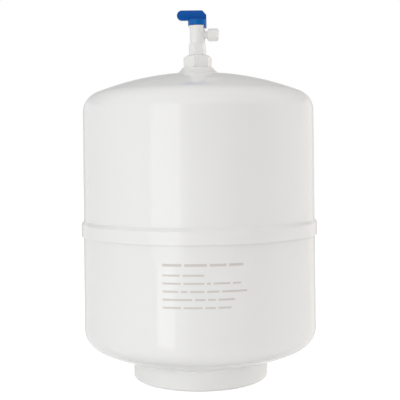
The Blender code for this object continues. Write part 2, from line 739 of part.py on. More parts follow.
def make_valve_stem(parent):
    """The stem: tang in the ball, collar under the body's shoulder, ring groove, and a square for the handle."""
    collar_low = CAVITY_TOP_Z - BALL_Z
    collar_top = STEM_COLLAR_TOP_Z - BALL_Z
    shaft_top = BOSS_TOP_Z - BALL_Z
    groove = (collar_top + shaft_top - STEM_GROOVE_WIDTH) / 2
    root = STEM_RADIUS - STEM_GROOVE_DEPTH
    outline = [
        (0.0, shaft_top),
        (STEM_RADIUS, shaft_top),
        (STEM_RADIUS, groove + STEM_GROOVE_WIDTH),
        (root, groove + STEM_GROOVE_WIDTH),
        (root, groove),
        (STEM_RADIUS, groove),
        (STEM_RADIUS, collar_top),
        (STEM_COLLAR_RADIUS, collar_top),
        (STEM_COLLAR_RADIUS, collar_low),
        (0.0, collar_low),
    ]
    stem = turned("valve_stem", outline, "seat_white", SMALL_SEGMENTS, False, parent)
    tang_low = BALL_RADIUS - TANG_DEPTH
    tang_size = (TANG_WIDTH, TANG_THICKNESS, collar_low - tang_low + FIT)
    tang = box("stem_tang_cutter", tang_size, (0.0, 0.0, (tang_low + collar_low + FIT) / 2), None, parent)
    drive_low = shaft_top - DRIVE_SIDE / 4
    drive_top = shaft_top + DRIVE_HEIGHT
    drive_size = (DRIVE_SIDE, DRIVE_SIDE, drive_top - drive_low)
    drive = box("stem_drive_cutter", drive_size, (0.0, 0.0, (drive_low + drive_top) / 2), None, parent)
    for joined in (tang, drive):
        boolean(stem, joined, "UNION")
    ring_radius = STEM_RADIUS + RUNNING_FIT - STEM_RING_RADIUS - FIT / 3
    middle = groove + STEM_GROOVE_WIDTH / 2
    ring = arc((ring_radius, middle), STEM_RING_RADIUS, 0.0, -2 * math.pi, 6)[:-1]
    turned("stem_ring", ring, "black_rubber", SMALL_SEGMENTS, True, parent)


def lever_outline():
    """The lever from the side, in X and height above its underside: round end, flat top, sloped tail."""
    half = LEVER_HEIGHT / 2
    outline = arc((half - LEVER_REACH, half), half, math.radians(270), math.radians(90), 10)
    outline += [
        (LEVER_TAIL - LEVER_SLOPE_RUN, LEVER_HEIGHT),
        (LEVER_TAIL, LEVER_HEIGHT - LEVER_SLOPE_DROP),
        (LEVER_TAIL, 0.0),
    ]
    return outline


def make_valve_handle(parent):
    """The handle: a skirt over the valve's boss, the upright lever across it, and the stop that hangs in the recess."""
    low = SKIRT_Z - BALL_Z
    top = SKIRT_TOP_Z - BALL_Z
    ceiling = BOSS_TOP_Z + FIT - BALL_Z
    corner = HANDLE_CORNER
    outline = [(0.0, top)]
    outline += arc((SKIRT_RADIUS - corner, top - corner), corner, math.pi / 2, 0.0, 2)
    outline += [
        (SKIRT_RADIUS, low),
        (SKIRT_RADIUS - SKIRT_WALL, low),
        (SKIRT_RADIUS - SKIRT_WALL, ceiling),
        (0.0, ceiling),
    ]
    handle = turned("valve_handle", outline, "blue_plastic", SMALL_SEGMENTS, False, parent)
    side = Matrix.Translation((0.0, 0.0, top - LEVER_DROP)) @ Matrix.Rotation(math.pi / 2, 4, "X")
    half = LEVER_THICKNESS / 2
    lever = plate("lever_cutter", lever_outline(), -half, half, None, parent, side)
    ease_edges(lever, LEVER_EDGE)
    inner = SKIRT_RADIUS - STOP_WALL
    stop_top = low + SKIRT_WALL / 2
    stop = sector("stop_cutter", inner, SKIRT_RADIUS, STOP_FIRST, STOP_LAST, low - STOP_HEIGHT, stop_top, None, parent)
    hole = DRIVE_SIDE + 2 * FIT
    drive_top = BOSS_TOP_Z - BALL_Z + DRIVE_HEIGHT + FIT
    socket_low = ceiling - FIT
    socket_size = (hole, hole, drive_top - socket_low)
    socket = box("drive_socket_cutter", socket_size, (0.0, 0.0, (socket_low + drive_top) / 2), None, parent)
    boolean(handle, lever, "UNION")
    boolean(handle, stop, "UNION")
    boolean(handle, socket, "DIFFERENCE")


def ease_edges(piece, width):
    """Rounds the sharp edges of a flat piece."""
    shape = bmesh.new()
    shape.from_mesh(piece.data)
    flat = math.radians(1.0)
    bmesh.ops.dissolve_limit(shape, angle_limit=flat, verts=shape.verts, edges=shape.edges)
    sharp = [edge for edge in shape.edges if edge.calc_face_angle(0.0) > math.radians(60)]
    bmesh.ops.bevel(shape, geom=sharp, offset=width, segments=2, profile=0.5, affect="EDGES", clamp_overlap=True)
    shape.to_mesh(piece.data)
    shape.free()


# Tube outlet

def make_outlet_ferrule(parent):
    """The ring that closes on the tube: a cone into the arm's mouth, its back on the nut."""
    slope = (MOUTH_RADIUS - TUBE_SOCKET_RADIUS) / MOUTH_DEPTH
    start = ARM_THREAD_END - MOUTH_DEPTH + 2 * FIT
    nose = TUBE_SOCKET_RADIUS + slope * FIT
    shoulder = start + (FERRULE_RADIUS - nose) / slope
    end = start + FERRULE_LENGTH
    inner = OUTLET_HOLE_RADIUS
    outline = [
        (FERRULE_RADIUS - FIT, end),
        (FERRULE_RADIUS, end - FIT),
        (FERRULE_RADIUS, shoulder),
        (inner + FIT, start + (inner + FIT - nose) / slope),
        (inner, start + (inner + FIT - nose) / slope),
        (inner, end),
    ]
    turned("outlet_ferrule", outline, "seat_white", SMALL_SEGMENTS, True, parent)


def make_outlet_nut(parent):
    """The compression nut: hexagon with a tapered skirt and a turned face, bored for the thread and the tube."""
    end = OUTLET_NUT_START + OUTLET_NUT_LENGTH
    corner = OUTLET_NUT_FLATS / 2 / math.cos(math.pi / 6) + FIT
    seat = ARM_THREAD_END - MOUTH_DEPTH + 2 * FIT + FERRULE_LENGTH + FIT
    bore = ARM_THREAD_RADIUS + FIT
    nut = hexagon("outlet_nut", OUTLET_NUT_FLATS, OUTLET_NUT_START, end, 0.0, "white_plastic", parent)
    outline = [
        (OUTLET_HOLE_RADIUS, end),
        (OUTLET_NUT_FACE_RADIUS, end),
        (corner, end - OUTLET_NUT_CHAMFER),
        (corner, OUTLET_NUT_START + OUTLET_NUT_TAPER),
        (OUTLET_NUT_SMALL_RADIUS, OUTLET_NUT_START),
        (bore, OUTLET_NUT_START),
        (bore, seat),
        (OUTLET_HOLE_RADIUS, seat),
    ]
    blank = turned("outlet_nut_blank", outline, None, SMALL_SEGMENTS, True, parent)
    boolean(nut, blank, "INTERSECT")


# Air valve, in heights along its own axis from the outer skin

def air_place():
    """The air valve's frame: on the lower knuckle's skin at the back, its Z axis out along the skin's normal."""
    outward = Vector((0.0, math.cos(AIR_TILT), -math.sin(AIR_TILT)))
    centre = Vector((0.0, LOWER_RADIUS - LOWER_KNUCKLE, LOWER_TANGENT_Z))
    spot = centre + outward * LOWER_KNUCKLE
    turn = Vector((0.0, 0.0, 1.0)).rotation_difference(outward).to_matrix().to_4x4()
    return Matrix.Translation(spot) @ turn


def make_air_valve(axis, pin_axis, cap_axis):
    head_top = -AIR_SEAL_DROP - AIR_SEAL - FIT
    outline = [
        (AIR_THREAD_RADIUS, AIR_LENGTH),
        (AIR_THREAD_RADIUS, head_top),
        (AIR_HEAD_RADIUS, head_top),
        (AIR_HEAD_RADIUS, head_top - AIR_HEAD),
        (AIR_BORE_STEP, head_top - AIR_HEAD),
        (AIR_BORE_STEP, AIR_SPRING_SEAT),
        (AIR_BORE, AIR_SPRING_SEAT),
        (AIR_BORE, AIR_LENGTH),
    ]
    turned("air_valve_body", outline, "brass", TINY_SEGMENTS, True, axis)
    seal_inner = AIR_THREAD_RADIUS + FIT
    seal_low = -AIR_SEAL_DROP - AIR_SEAL
    tube("air_valve_seal", AIR_HEAD_RADIUS, seal_inner, seal_low, -AIR_SEAL_DROP, "black_rubber", TINY_SEGMENTS, axis)
    low = -AIR_NUT_SET
    nut = hexagon("air_valve_nut", AIR_NUT_FLATS, low, low + AIR_NUT_HEIGHT, 0.0, "brass", axis)
    bore = rod("air_nut_bore_cutter", AIR_THREAD_RADIUS + FIT, -AIR_LENGTH, AIR_LENGTH, None, TINY_SEGMENTS, axis)
    boolean(nut, bore, "DIFFERENCE")
    core_top = AIR_CORE_START + AIR_CORE_LENGTH
    pin_hole = AIR_PIN_RADIUS + RUNNING_FIT
    tube("air_valve_core", AIR_CORE_RADIUS, pin_hole, AIR_CORE_START, core_top, "brass", TINY_SEGMENTS, axis)
    make_air_pin(pin_axis)
    make_air_spring(axis)
    make_air_cap(cap_axis)


def make_air_pin(parent):
    """The pin and its poppet, which the spring holds up against the core."""
    top = AIR_CORE_START - FIT
    outline = [
        (0.0, AIR_PIN_TIP),
        (AIR_PIN_RADIUS, AIR_PIN_TIP),
        (AIR_PIN_RADIUS, top),
        (POPPET_RADIUS, top),
        (POPPET_RADIUS, top - POPPET_HEIGHT),
        (0.0, top - POPPET_HEIGHT),
    ]
    turned("air_valve_pin", outline, "brass", TINY_SEGMENTS // 2, False, parent)


def make_air_spring(parent):
    """The coil between the body's step and the poppet."""
    low = AIR_SPRING_SEAT + FIT + SPRING_WIRE
    high = AIR_CORE_START - FIT - POPPET_HEIGHT - FIT - SPRING_WIRE
    per_turn = 8
    curve = bpy.data.curves.new("air_valve_spring", "CURVE")
    curve.dimensions = "3D"
    curve.bevel_depth = SPRING_WIRE
    curve.bevel_resolution = 0
    curve.use_fill_caps = True
    line = curve.splines.new("POLY")
    count = SPRING_TURNS * per_turn + 1
    line.points.add(count - 1)
    for i, point in enumerate(line.points):
        turn = 2 * math.pi * i / per_turn
        height = low + (high - low) * i / (count - 1)
        point.co = (SPRING_RADIUS * math.cos(turn), SPRING_RADIUS * math.sin(turn), height, 1.0)
    curve.materials.append(MATERIALS["stainless"])
    piece = bpy.data.objects.new("air_valve_spring", curve)
    PARTS.objects.link(piece)
    piece.parent = parent


def make_air_cap(parent):
    """The push-on cap over the thread."""
    inner = AIR_THREAD_RADIUS + CAP_WALL_GAP
    ceiling = AIR_LENGTH + FIT
    corner = HANDLE_CORNER
    outline = [(0.0, CAP_END)]
    outline += arc((CAP_RADIUS - corner, CAP_END - corner), corner, math.pi / 2, 0.0, 2)
    outline += [(CAP_RADIUS, CAP_START), (inner, CAP_START), (inner, ceiling), (0.0, ceiling)]
    turned("air_valve_cap", outline, "black_plastic", TINY_SEGMENTS, False, parent)


# Assembly

def build():
    air = air_place()
    make_upper_shell()
    make_lower_shell(air)
    make_base_ring()
    make_water_liner()
    make_diaphragm()
    make_clench_ring()
    make_port_nipple()
    make_port_gasket()
    make_port_nut()
    make_valve_body()
    make_seats()
    lever_axis = add_axis("lever_turn_axis", Matrix.Translation((0.0, 0.0, BALL_Z)))
    make_valve_ball(lever_axis)
    make_valve_stem(lever_axis)
    make_valve_handle(lever_axis)
    outlet_axis = add_axis("outlet_axis", OUTLET_AXIS)
    make_outlet_ferrule(outlet_axis)
    make_outlet_nut(outlet_axis)
    make_air_valve(
        add_axis("air_valve_axis", air),
        add_axis("air_pin_axis", air),
        add_axis("air_cap_axis", air),
    )
    for piece in PARTS.objects:
        if piece.type == "MESH":
            smooth(piece)


clear_scene()
PARTS = new_collection("reverse_osmosis_tank")
CUTTERS = new_collection("cutters")
MATERIALS = make_materials()
build()
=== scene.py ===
"""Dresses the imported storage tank: enamelled bowls, moulded valve, brass air valve, and a plain studio."""

import json
import math

import bmesh
import bpy
from mathutils import Matrix, Vector


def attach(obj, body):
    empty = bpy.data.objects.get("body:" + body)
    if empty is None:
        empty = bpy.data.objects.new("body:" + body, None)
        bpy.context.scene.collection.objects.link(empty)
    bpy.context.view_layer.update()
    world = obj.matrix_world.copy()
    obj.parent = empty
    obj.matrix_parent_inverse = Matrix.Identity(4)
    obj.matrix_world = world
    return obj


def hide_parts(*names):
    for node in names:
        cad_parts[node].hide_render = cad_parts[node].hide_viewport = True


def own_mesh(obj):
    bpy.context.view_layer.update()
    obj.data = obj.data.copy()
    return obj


bl_info = {
    "name": "Storage tank dresser",
    "version": (1, 0, 0),
    "blender": (4, 5, 0),
    "location": "3D View > Sidebar > Tank",
    "description": "Builds the bowls, the valve and the air valve of a water storage tank round its frame",
    "category": "Object",
}

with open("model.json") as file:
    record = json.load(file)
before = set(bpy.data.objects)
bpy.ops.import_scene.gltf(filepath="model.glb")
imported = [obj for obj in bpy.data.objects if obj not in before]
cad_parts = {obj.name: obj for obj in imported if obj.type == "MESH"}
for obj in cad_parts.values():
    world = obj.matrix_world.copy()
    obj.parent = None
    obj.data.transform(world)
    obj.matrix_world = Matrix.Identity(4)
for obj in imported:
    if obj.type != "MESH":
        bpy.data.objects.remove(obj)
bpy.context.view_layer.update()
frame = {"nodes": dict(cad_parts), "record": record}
# Points closer than this are joined.
MERGE = 0.000002
# Distance from the end of a straight run to the point that keeps it flat under smooth shading.
HOLD = 0.0004
FULL_TURN = 2 * math.pi


def length(name, description, default):
    return bpy.props.FloatProperty(
        name=name, description=description, default=default, min=0.0, unit="LENGTH", precision=5
    )


def colour(name, description, default):
    return bpy.props.FloatVectorProperty(
        name=name, description=description, default=default, size=3, min=0.0, max=1.0, subtype="COLOR"
    )


def angle(name, description, default):
    return bpy.props.FloatProperty(
        name=name, description=description, default=math.radians(default), subtype="ANGLE"
    )


def level(name, description, default):
    return bpy.props.FloatProperty(name=name, description=description, default=default)


# Sizes and colours


class BowlSizes(bpy.types.PropertyGroup):
    body_radius: length("Body radius", "Outer radius of the upper bowl's side", 0.1400)
    wall: length("Wall", "Thickness of the pressed steel", 0.0010)
    upper_tangent: length("Upper tangent", "Height where the side meets the upper head", 0.3203)
    upper_knuckle: length("Upper knuckle", "Corner radius of the upper head", 0.0250)
    upper_crown: length("Upper crown", "Crown radius of the upper head", 0.3300)
    lower_radius: length("Lower radius", "Outer radius of the lower bowl's side", 0.1404)
    lower_tangent: length("Lower tangent", "Height where the side meets the lower head", 0.0600)
    lower_knuckle: length("Lower knuckle", "Corner radius of the lower head", 0.0235)
    lower_crown: length("Lower crown", "Crown radius of the lower head", 0.3000)
    band_radius: length("Band radius", "Outer radius of the skirt that laps over the lower bowl", 0.1430)
    band_bottom: length("Band bottom", "Height of the skirt's lower edge", 0.1718)
    band_height: length("Band height", "Height of the skirt's straight part", 0.0142)
    joggle: length("Joggle", "Height of the step from the side out to the skirt", 0.0045)
    joggle_lean: angle("Joggle lean", "Slope of the step's straight part from the upright", 38.0)
    flare_start: length("Flare start", "Height of the lower bowl's flare above the skirt's edge", 0.0010)
    flare_height: length("Flare height", "Height of the lower bowl's flare", 0.0027)
    neck_radius: length("Neck radius", "Radius of the flat seat round the port", 0.0188)
    neck_rise: length("Neck rise", "Height of the seat above the crown", 0.0062)
    neck_fillet: length("Neck fillet", "Radius of the neck's flare", 0.0150)
    neck_edge: length("Neck edge", "Rounding of the seat's edge", 0.0012)
    port_hole: length("Port hole", "Radius of the hole for the nipple", 0.0074)
    ring_radius: length("Ring radius", "Outer radius of the base ring", 0.0814)
    ring_wall: length("Ring wall", "Thickness of the base ring", 0.0016)
    ring_foot: length("Ring foot", "Width of the ring's turned-in foot", 0.0055)
    ring_bend: length("Ring bend", "Outer radius of the foot's bend", 0.0024)
    fit: length("Fit", "Clearance between pieces that touch", 0.0003)


class PrintSizes(bpy.types.PropertyGroup):
    top: length("Top row", "Height of the first row of bars", 0.1507)
    first_pitch: length("First pitch", "Distance from the first row down to the second", 0.0109)
    pitch: length("Pitch", "Distance between the other rows", 0.0086)
    left: length("Left margin", "Distance round the bowl from the front to the bars' left end", 0.0405)
    gap: length("Gap", "Distance between two bars of a row", 0.0030)
    first_height: length("First height", "Height of the first row's bars", 0.0028)
    height: length("Height", "Height of the other bars", 0.0020)
    relief: length("Relief", "Thickness of the ink over the enamel", 0.00006)
    sink: length("Sink", "Depth of the ink's back in the enamel", 0.0002)


class ValveSizes(bpy.types.PropertyGroup):
    nut_flats: length("Port nut", "Across flats of the port nut", 0.0312)
    nut_height: length("Port nut height", "Height of the port nut", 0.0147)
    nut_chamfer_radius: length("Nut chamfer radius", "Radius of the nut's top face", 0.0132)
    nut_chamfer_height: length("Nut chamfer height", "Depth of the cone turned on the nut", 0.0034)
    nut_turn: angle("Port nut turn", "Angle of a corner from the outlet", 15.0)
    nipple_radius: length("Nipple radius", "Radius of the nipple's thread", 0.00685)
    base_gap: length("Base gap", "Gap between the port nut and the valve", 0.0005)
    hex_flats: length("Hexagon", "Across flats of the valve's foot", 0.0190)
    hex_height: length("Hexagon height", "Height of the valve's foot", 0.0140)
    hex_chamfer: length("Hexagon chamfer", "Easing of the hexagon's corners", 0.0010)
    hex_turn: angle("Hexagon turn", "Angle of a corner from the outlet", 8.0)
    barrel_radius: length("Barrel radius", "Radius of the valve's barrel", 0.0093)
    outlet_height: length("Outlet height", "Height of the outlet above the valve's foot", 0.0249)
    collar_radius: length("Collar radius", "Radius of the flared collar", 0.0112)
    collar_start: length("Collar start", "Height of the collar's foot above the outlet", 0.0074)
    collar_height: length("Collar height", "Height of the collar's flare", 0.0036)
    boss_radius: length("Boss radius", "Radius of the boss inside the handle", 0.0086)
    boss_height: length("Boss height", "Height of the boss above the collar", 0.0050)
    port_radius: length("Port radius", "Radius of the threaded port in the valve's foot", 0.0071)
    port_depth: length("Port depth", "Depth of the threaded port", 0.0120)
    ball_radius: length("Ball radius", "Radius of the ball", 0.0065)
    ball_bore: length("Ball bore", "Radius of the waterway", 0.0024)
    cavity_radius: length("Cavity radius", "Radius of the ball's chamber", 0.00685)
    cavity_top: length("Cavity clearance", "Clearance above the ball", 0.0006)
    seat_radius: length("Seat radius", "Radius of the outlet seat's pocket", 0.0049)
    seat_outer: length("Seat outer", "Distance of the pocket's end from the axis", 0.0080)
    stem_bore: length("Stem bore", "Radius of the stem's bore", 0.0035)
    stem_collar_bore: length("Stem collar bore", "Radius of the recess for the stem's collar", 0.0055)
    stem_collar: length("Stem collar", "Height of that recess", 0.0021)
    arm_neck: length("Arm neck", "Radius of the arm's neck", 0.0043)
    arm_thread: length("Arm thread", "Radius of the arm's thread", 0.0054)
    arm_thread_start: length("Thread start", "Distance of the thread's start from the axis", 0.0134)
    arm_end: length("Arm end", "Distance of the arm's end from the axis", 0.0194)
    thread_pitch: length("Thread pitch", "Pitch of the arm's thread", 0.00106)
    thread_depth: length("Thread depth", "Depth of the arm's thread", 0.0005)
    socket_radius: length("Socket radius", "Radius of the tube's socket", 0.0033)
    socket_start: length("Socket start", "Distance of the socket's floor from the axis", 0.0122)
    mouth_radius: length("Mouth radius", "Radius of the cone at the arm's mouth", 0.0043)
    mouth_depth: length("Mouth depth", "Depth of that cone", 0.0012)


class HandleSizes(bpy.types.PropertyGroup):
    skirt_radius: length("Skirt radius", "Outer radius of the handle's skirt", 0.0114)
    skirt_wall: length("Skirt wall", "Thickness of the skirt", 0.0022)
    skirt_gap: length("Skirt gap", "Gap between the collar and the skirt", 0.0004)
    skirt_height: length("Skirt height", "Height of the skirt", 0.0076)
    corner: length("Corner", "Rounding of the skirt's top edge", 0.0008)
    lever_thickness: length("Lever thickness", "Thickness of the lever", 0.0066)
    lever_height: length("Lever height", "Height of the lever", 0.0123)
    lever_drop: length("Lever drop", "Depth of the lever's underside below the skirt's top", 0.0014)
    lever_reach: length("Lever reach", "Distance of the lever's tip from the axis", 0.0249)
    lever_tail: length("Lever tail", "Distance of the lever's tail from the axis", 0.0112)
    slope_run: length("Slope run", "Length of the slope at the tail", 0.0050)
    slope_drop: length("Slope drop", "Height of the slope at the tail", 0.0056)
    edge: length("Edge", "Rounding of the lever's edges", 0.0009)
    stop_wall: length("Stop wall", "Thickness of the stop", 0.0014)
    stop_height: length("Stop height", "Length of the stop below the skirt", 0.0032)
    stop_first: angle("Stop start", "Angle of the stop's first edge", -41.0)
    stop_last: angle("Stop end", "Angle of the stop's last edge", 20.0)
    stop_margin: angle("Stop margin", "Clearance angle of the recess", 3.0)
    drive_side: length("Drive side", "Width of the square socket", 0.0046)
    drive_height: length("Drive height", "Height of the socket above the boss", 0.0065)


class OutletSizes(bpy.types.PropertyGroup):
    nut_flats: length("Tube nut", "Across flats of the tube nut", 0.0140)
    nut_start: length("Nut start", "Distance of the nut's start from the axis", 0.0124)
    nut_length: length("Nut length", "Length of the nut", 0.0142)
    nut_taper: length("Nut taper", "Length of the tapered end", 0.0034)
    nut_small: length("Small radius", "Radius of the tapered end", 0.0063)
    nut_chamfer: length("Nut chamfer", "Depth of the cone on the outer end", 0.0024)
    nut_face: length("Nut face", "Radius of the outer face", 0.0052)
    hole: length("Tube hole", "Radius of the hole for the tube", 0.0034)
    ferrule_radius: length("Ferrule radius", "Outer radius of the ferrule", 0.0047)
    ferrule_length: length("Ferrule length", "Length of the ferrule", 0.0032)


class AirValveSizes(bpy.types.PropertyGroup):
    tilt: angle("Tilt", "Angle of the air valve below the horizontal", 60.0)
    hole: length("Hole", "Radius of the hole in the bowl", 0.0046)
    thread_radius: length("Thread radius", "Outer radius of the thread", 0.00385)
    thread_pitch: length("Thread pitch", "Pitch of the thread", 0.0008)
    thread_depth: length("Thread depth", "Depth of the thread", 0.0003)
    bore: length("Bore", "Radius of the core's bore", 0.0025)
    bore_step: length("Bore step", "Radius of the bore under the spring", 0.0017)
    spring_seat: length("Spring seat", "Height of the step above the skin", 0.0020)
    head_radius: length("Head radius", "Radius of the head inside the bowl", 0.0075)
    head: length("Head", "Thickness of the head", 0.0020)
    head_top: length("Head drop", "Depth of the head's face below the skin", 0.0049)
    nut_flats: length("Nut", "Across flats of the outer nut", 0.0120)
    nut_height: length("Nut height", "Height of the nut", 0.0038)
    nut_set: length("Nut set", "Depth of the nut's face below the skin's highest point", 0.0002)
    top: length("Top", "Height of the valve's mouth", 0.0160)
    cap_radius: length("Cap radius", "Outer radius of the cap", 0.0053)
    cap_inner: length("Cap bore", "Inner radius of the cap", 0.00425)
    cap_start: length("Cap start", "Height of the cap's rim", 0.0050)
    cap_end: length("Cap end", "Height of the cap's top", 0.0178)
    cap_corner: length("Cap corner", "Rounding of the cap's top", 0.0008)
    cap_rib: length("Cap rib", "Depth of the cap's grip ribs", 0.00025)


class Finishes(bpy.types.PropertyGroup):
    enamel: colour("Enamel", "Colour of the baked enamel", (0.800, 0.800, 0.795))
    # Painted light: the ring is lighter than the enamel to lift the shade that the bowl casts on it.
    stand_painted_lighter: colour("Base ring", "Colour of the base ring, painted lighter to lift its shade", (0.840, 0.840, 0.830))
    moulding: colour("White plastic", "Colour of the nut and the valve", (0.820, 0.815, 0.800))
    handle: colour("Blue plastic", "Colour of the handle", (0.0, 0.080, 0.35))
    # The skirt's lighter blue is a painted reflection, standing in for the gloss on the skirt.
    skirt: colour("Blue with painted reflection", "Lighter blue painted on the skirt as its reflection", (0.0, 0.115, 0.40))
    print_ink: colour("Print", "Colour of the printed bars", (0.62, 0.58, 0.55))
    steel: colour("Stainless steel", "Colour of the ball, spring and nipple", (0.62, 0.61, 0.59))
    zinc: colour("Zinc plate", "Colour of the clench ring", (0.52, 0.53, 0.55))
    liner: colour("Liner", "Colour of the moulded liner", (0.82, 0.82, 0.80))
    rubber: colour("Rubber", "Colour of the bladder, gasket and seals", (0.022, 0.022, 0.023))
    seat: colour("Seat plastic", "Colour of the seats, stem and ferrule", (0.86, 0.86, 0.84))
    brass: colour("Brass", "Colour of the air valve", (0.66, 0.46, 0.17))
    cap: colour("Cap", "Colour of the air valve's cap", (0.025, 0.025, 0.027))


class Studio(bpy.types.PropertyGroup):
    camera_distance: length("Camera distance", "Distance of the camera from the tank's axis", 1.026)
    camera_height: length("Camera height", "Height of the camera", 0.2685)
    camera_roll: bpy.props.FloatProperty(
        name="Camera roll", description="Lean of the camera about its line of sight", default=-0.0105,
        subtype="ANGLE",
    )
    focal: level("Focal length", "Lens of the camera, in millimetres on a 36 mm sensor", 75.34)
    shift_x: level("Shift X", "Sideways shift of the frame", 0.0034)
    shift_y: level("Shift Y", "Upward shift of the frame", -0.1148)
    ambient: level("Ambient", "Brightness of the light from low down all round", 0.91)
    ambient_above: level("Ambient above", "Brightness of the light from overhead", 0.46)
    surround: level("Surround", "Brightness that gloss sees at the sides", 1.0)
    flank: level("Flank", "Brightness that gloss sees beside the backdrop, behind the tank", 0.7)
    front_left: level("Front left", "Brightness that gloss sees at the left of the camera", 1.05)
    front_right: level("Front right", "Brightness that gloss sees at the right of the camera", 0.1)
    ceiling: level("Ceiling", "Brightness that gloss sees overhead", 1.0)
    ceiling_behind: level("Ceiling behind", "Brightness that gloss sees overhead behind the tank", 0.48)
    underfoot: level("Underfoot", "Share of light that gloss sees straight below, in the tank's shadow", 0.15)
    warm: colour("Warm side", "Tint of the light from the right", (1.0, 0.965, 0.94))
    left_softbox: level("Softbox", "Brightness of the softbox on the left, where white is 1", 0.93)
    softbox_below: level("Softbox below", "Brightness of its lower part, which only gloss sees", 1.65)
    left_fill: level("Left fill", "Brightness of the lamp on the far left", 1.15)
    right_fill: level("Right fill", "Brightness of the lamp on the right", 2.6)
    front_fill: level("Front fill", "Brightness of the low lamp under the camera", 3.2)
    top_fill: level("Top fill", "Brightness of the lamp over the tank", 1.8)
    floor_bounce: level("Floor bounce", "Brightness that the lit floor throws up under the tank", 0.1)
    floor: colour("Floor", "Colour of the floor", (0.85, 0.85, 0.85))
    floor_lift: level("Floor lift", "White added where the camera sees the floor", 0.62)


PROPERTY_GROUPS = {
    "bowl_sizes": BowlSizes,
    "print_sizes": PrintSizes,
    "valve_sizes": ValveSizes,
    "handle_sizes": HandleSizes,
    "outlet_sizes": OutletSizes,
    "air_valve_sizes": AirValveSizes,
    "finishes": Finishes,
    "studio": Studio,
}


# Drawing and turning


class Section:
    """A cross-section drawn point by point in the XZ plane, as radius and height, ready to spin about Z."""

    def __init__(self, radius, height):
        self.shape = bmesh.new()
        self.first = self.shape.verts.new((radius, 0.0, height))
        self.last = self.first

    def line(self, *points):
        """Draws straight from point to point."""
        for radius, height in points:
            made = bmesh.ops.extrude_vert_indiv(self.shape, verts=[self.last])
            self.last = made["verts"][0]
            self.last.co = (radius, 0.0, height)
        return self

    def run(self, radius, height):
        """Draws straight to a point, with a point near each end that keeps the run flat in smooth shading."""
        start = self.last.co.copy()
        step = (Vector((radius, 0.0, height)) - start).normalized() * HOLD
        near = (start.x + step.x, start.z + step.z)
        far = (radius - step.x, height - step.z)
        return self.line(near, far, (radius, height))

    def bend(self, radius, height, sweep, steps):
        """Draws an arc about a centre, clockwise where sweep is positive, with the axis on the left."""
        made = bmesh.ops.spin(
            self.shape, geom=[self.last], cent=(radius, 0.0, height), axis=(0.0, 1.0, 0.0),
            angle=sweep, steps=steps,
        )
        self.last = next(item for item in made["geom_last"] if isinstance(item, bmesh.types.BMVert))
        return self

    def close(self):
        """Joins the last point to the first."""
        self.shape.edges.new((self.last, self.first))
        return self

    def turn(self, steps):
        """Spins the section once round Z into a solid or a skin."""
        geometry = self.shape.verts[:] + self.shape.edges[:]
        bmesh.ops.spin(
            self.shape, geom=geometry, cent=(0.0, 0.0, 0.0), axis=(0.0, 0.0, 1.0), angle=FULL_TURN,
            steps=steps, use_merge=True,
        )
        return clean(self.shape)


def clean(shape):
    """Joins points that meet, and turns every face outwards."""
    bmesh.ops.remove_doubles(shape, verts=shape.verts, dist=MERGE)
    bmesh.ops.recalc_face_normals(shape, faces=shape.faces)
    return shape


def sweep_face(shape, face, angle, steps, climb=0.0):
    """Spins a face about Z into a solid with closed ends, climbing evenly on the way."""
    bmesh.ops.duplicate(shape, geom=[face])
    bmesh.ops.spin(
        shape, geom=[face] + face.edges[:] + face.verts[:], cent=(0.0, 0.0, 0.0), axis=(0.0, 0.0, 1.0),
        dvec=(0.0, 0.0, climb / steps), angle=angle, steps=steps,
    )
    return clean(shape)


def sector(inner, outer, first, last, low, high, step=math.radians(3)):
    """A stretch of a flat ring, from a cross-section that is spun part of the way round."""
    shape = bmesh.new()
    corners = [(inner, low), (outer, low), (outer, high), (inner, high)]
    points = [shape.verts.new((radius, 0.0, height)) for radius, height in corners]
    face = shape.faces.new(points)
    bmesh.ops.rotate(shape, cent=(0.0, 0.0, 0.0), matrix=Matrix.Rotation(first, 3, "Z"), verts=points)
    return sweep_face(shape, face, last - first, math.ceil((last - first) / step))


# A thread's ridge: its root as a share of the thread's depth, and half its foot and crest as shares of
# the pitch.
RIDGE_ROOT = 1.3
RIDGE_FOOT = 0.42
RIDGE_CREST = 0.1


def thread(radius, depth, pitch, low, high, steps_per_turn=32):
    """A helical ridge round Z: its cross-section is spun and lifted by the pitch each turn."""
    shape = bmesh.new()
    root = radius - depth * RIDGE_ROOT
    foot = pitch * RIDGE_FOOT
    crest = pitch * RIDGE_CREST
    start = low + foot
    corners = [(root, start - foot), (radius, start - crest), (radius, start + crest), (root, start + foot)]
    face = shape.faces.new([shape.verts.new((r, 0.0, z)) for r, z in corners])
    turns = (high - low - 2 * foot) / pitch
    return sweep_face(shape, face, FULL_TURN * turns, round(turns * steps_per_turn), pitch * turns)


def corner_radius(flats):
    """Distance from a hexagon's middle to its corners."""
    return flats / 2 / math.cos(math.pi / 6)


def hexagon(flats, low, high, turn, easing):
    """A six-sided bar with a corner at an angle from +X, its long edges rounded."""
    shape = bmesh.new()
    corner = corner_radius(flats)
    seat = Matrix.Translation((0.0, 0.0, (low + high) / 2)) @ Matrix.Rotation(turn - math.pi / 2, 4, "Z")
    bmesh.ops.create_cone(
        shape, cap_ends=True, segments=6, radius1=corner, radius2=corner, depth=high - low, matrix=seat
    )
    upright = [edge for edge in shape.edges if abs(edge.verts[0].co.z - edge.verts[1].co.z) > MERGE]
    round_edges(shape, upright, easing)
    return shape


def block(size, centre):
    """A plain block, to cut with."""
    shape = bmesh.new()
    bmesh.ops.create_cube(shape, size=1.0)
    bmesh.ops.scale(shape, vec=size, verts=shape.verts)
    bmesh.ops.translate(shape, vec=centre, verts=shape.verts)
    return shape


def round_edges(shape, edges, width, steps=4):
    """Rounds the edges that are given."""
    bmesh.ops.bevel(
        shape, geom=edges, offset=width, segments=steps, profile=0.5, affect="EDGES", material=-1
    )


def place(shape, matrix):
    """Turns and moves a shape, drawn round Z, to its place."""
    bmesh.ops.transform(shape, matrix=matrix, verts=shape.verts)
    return shape


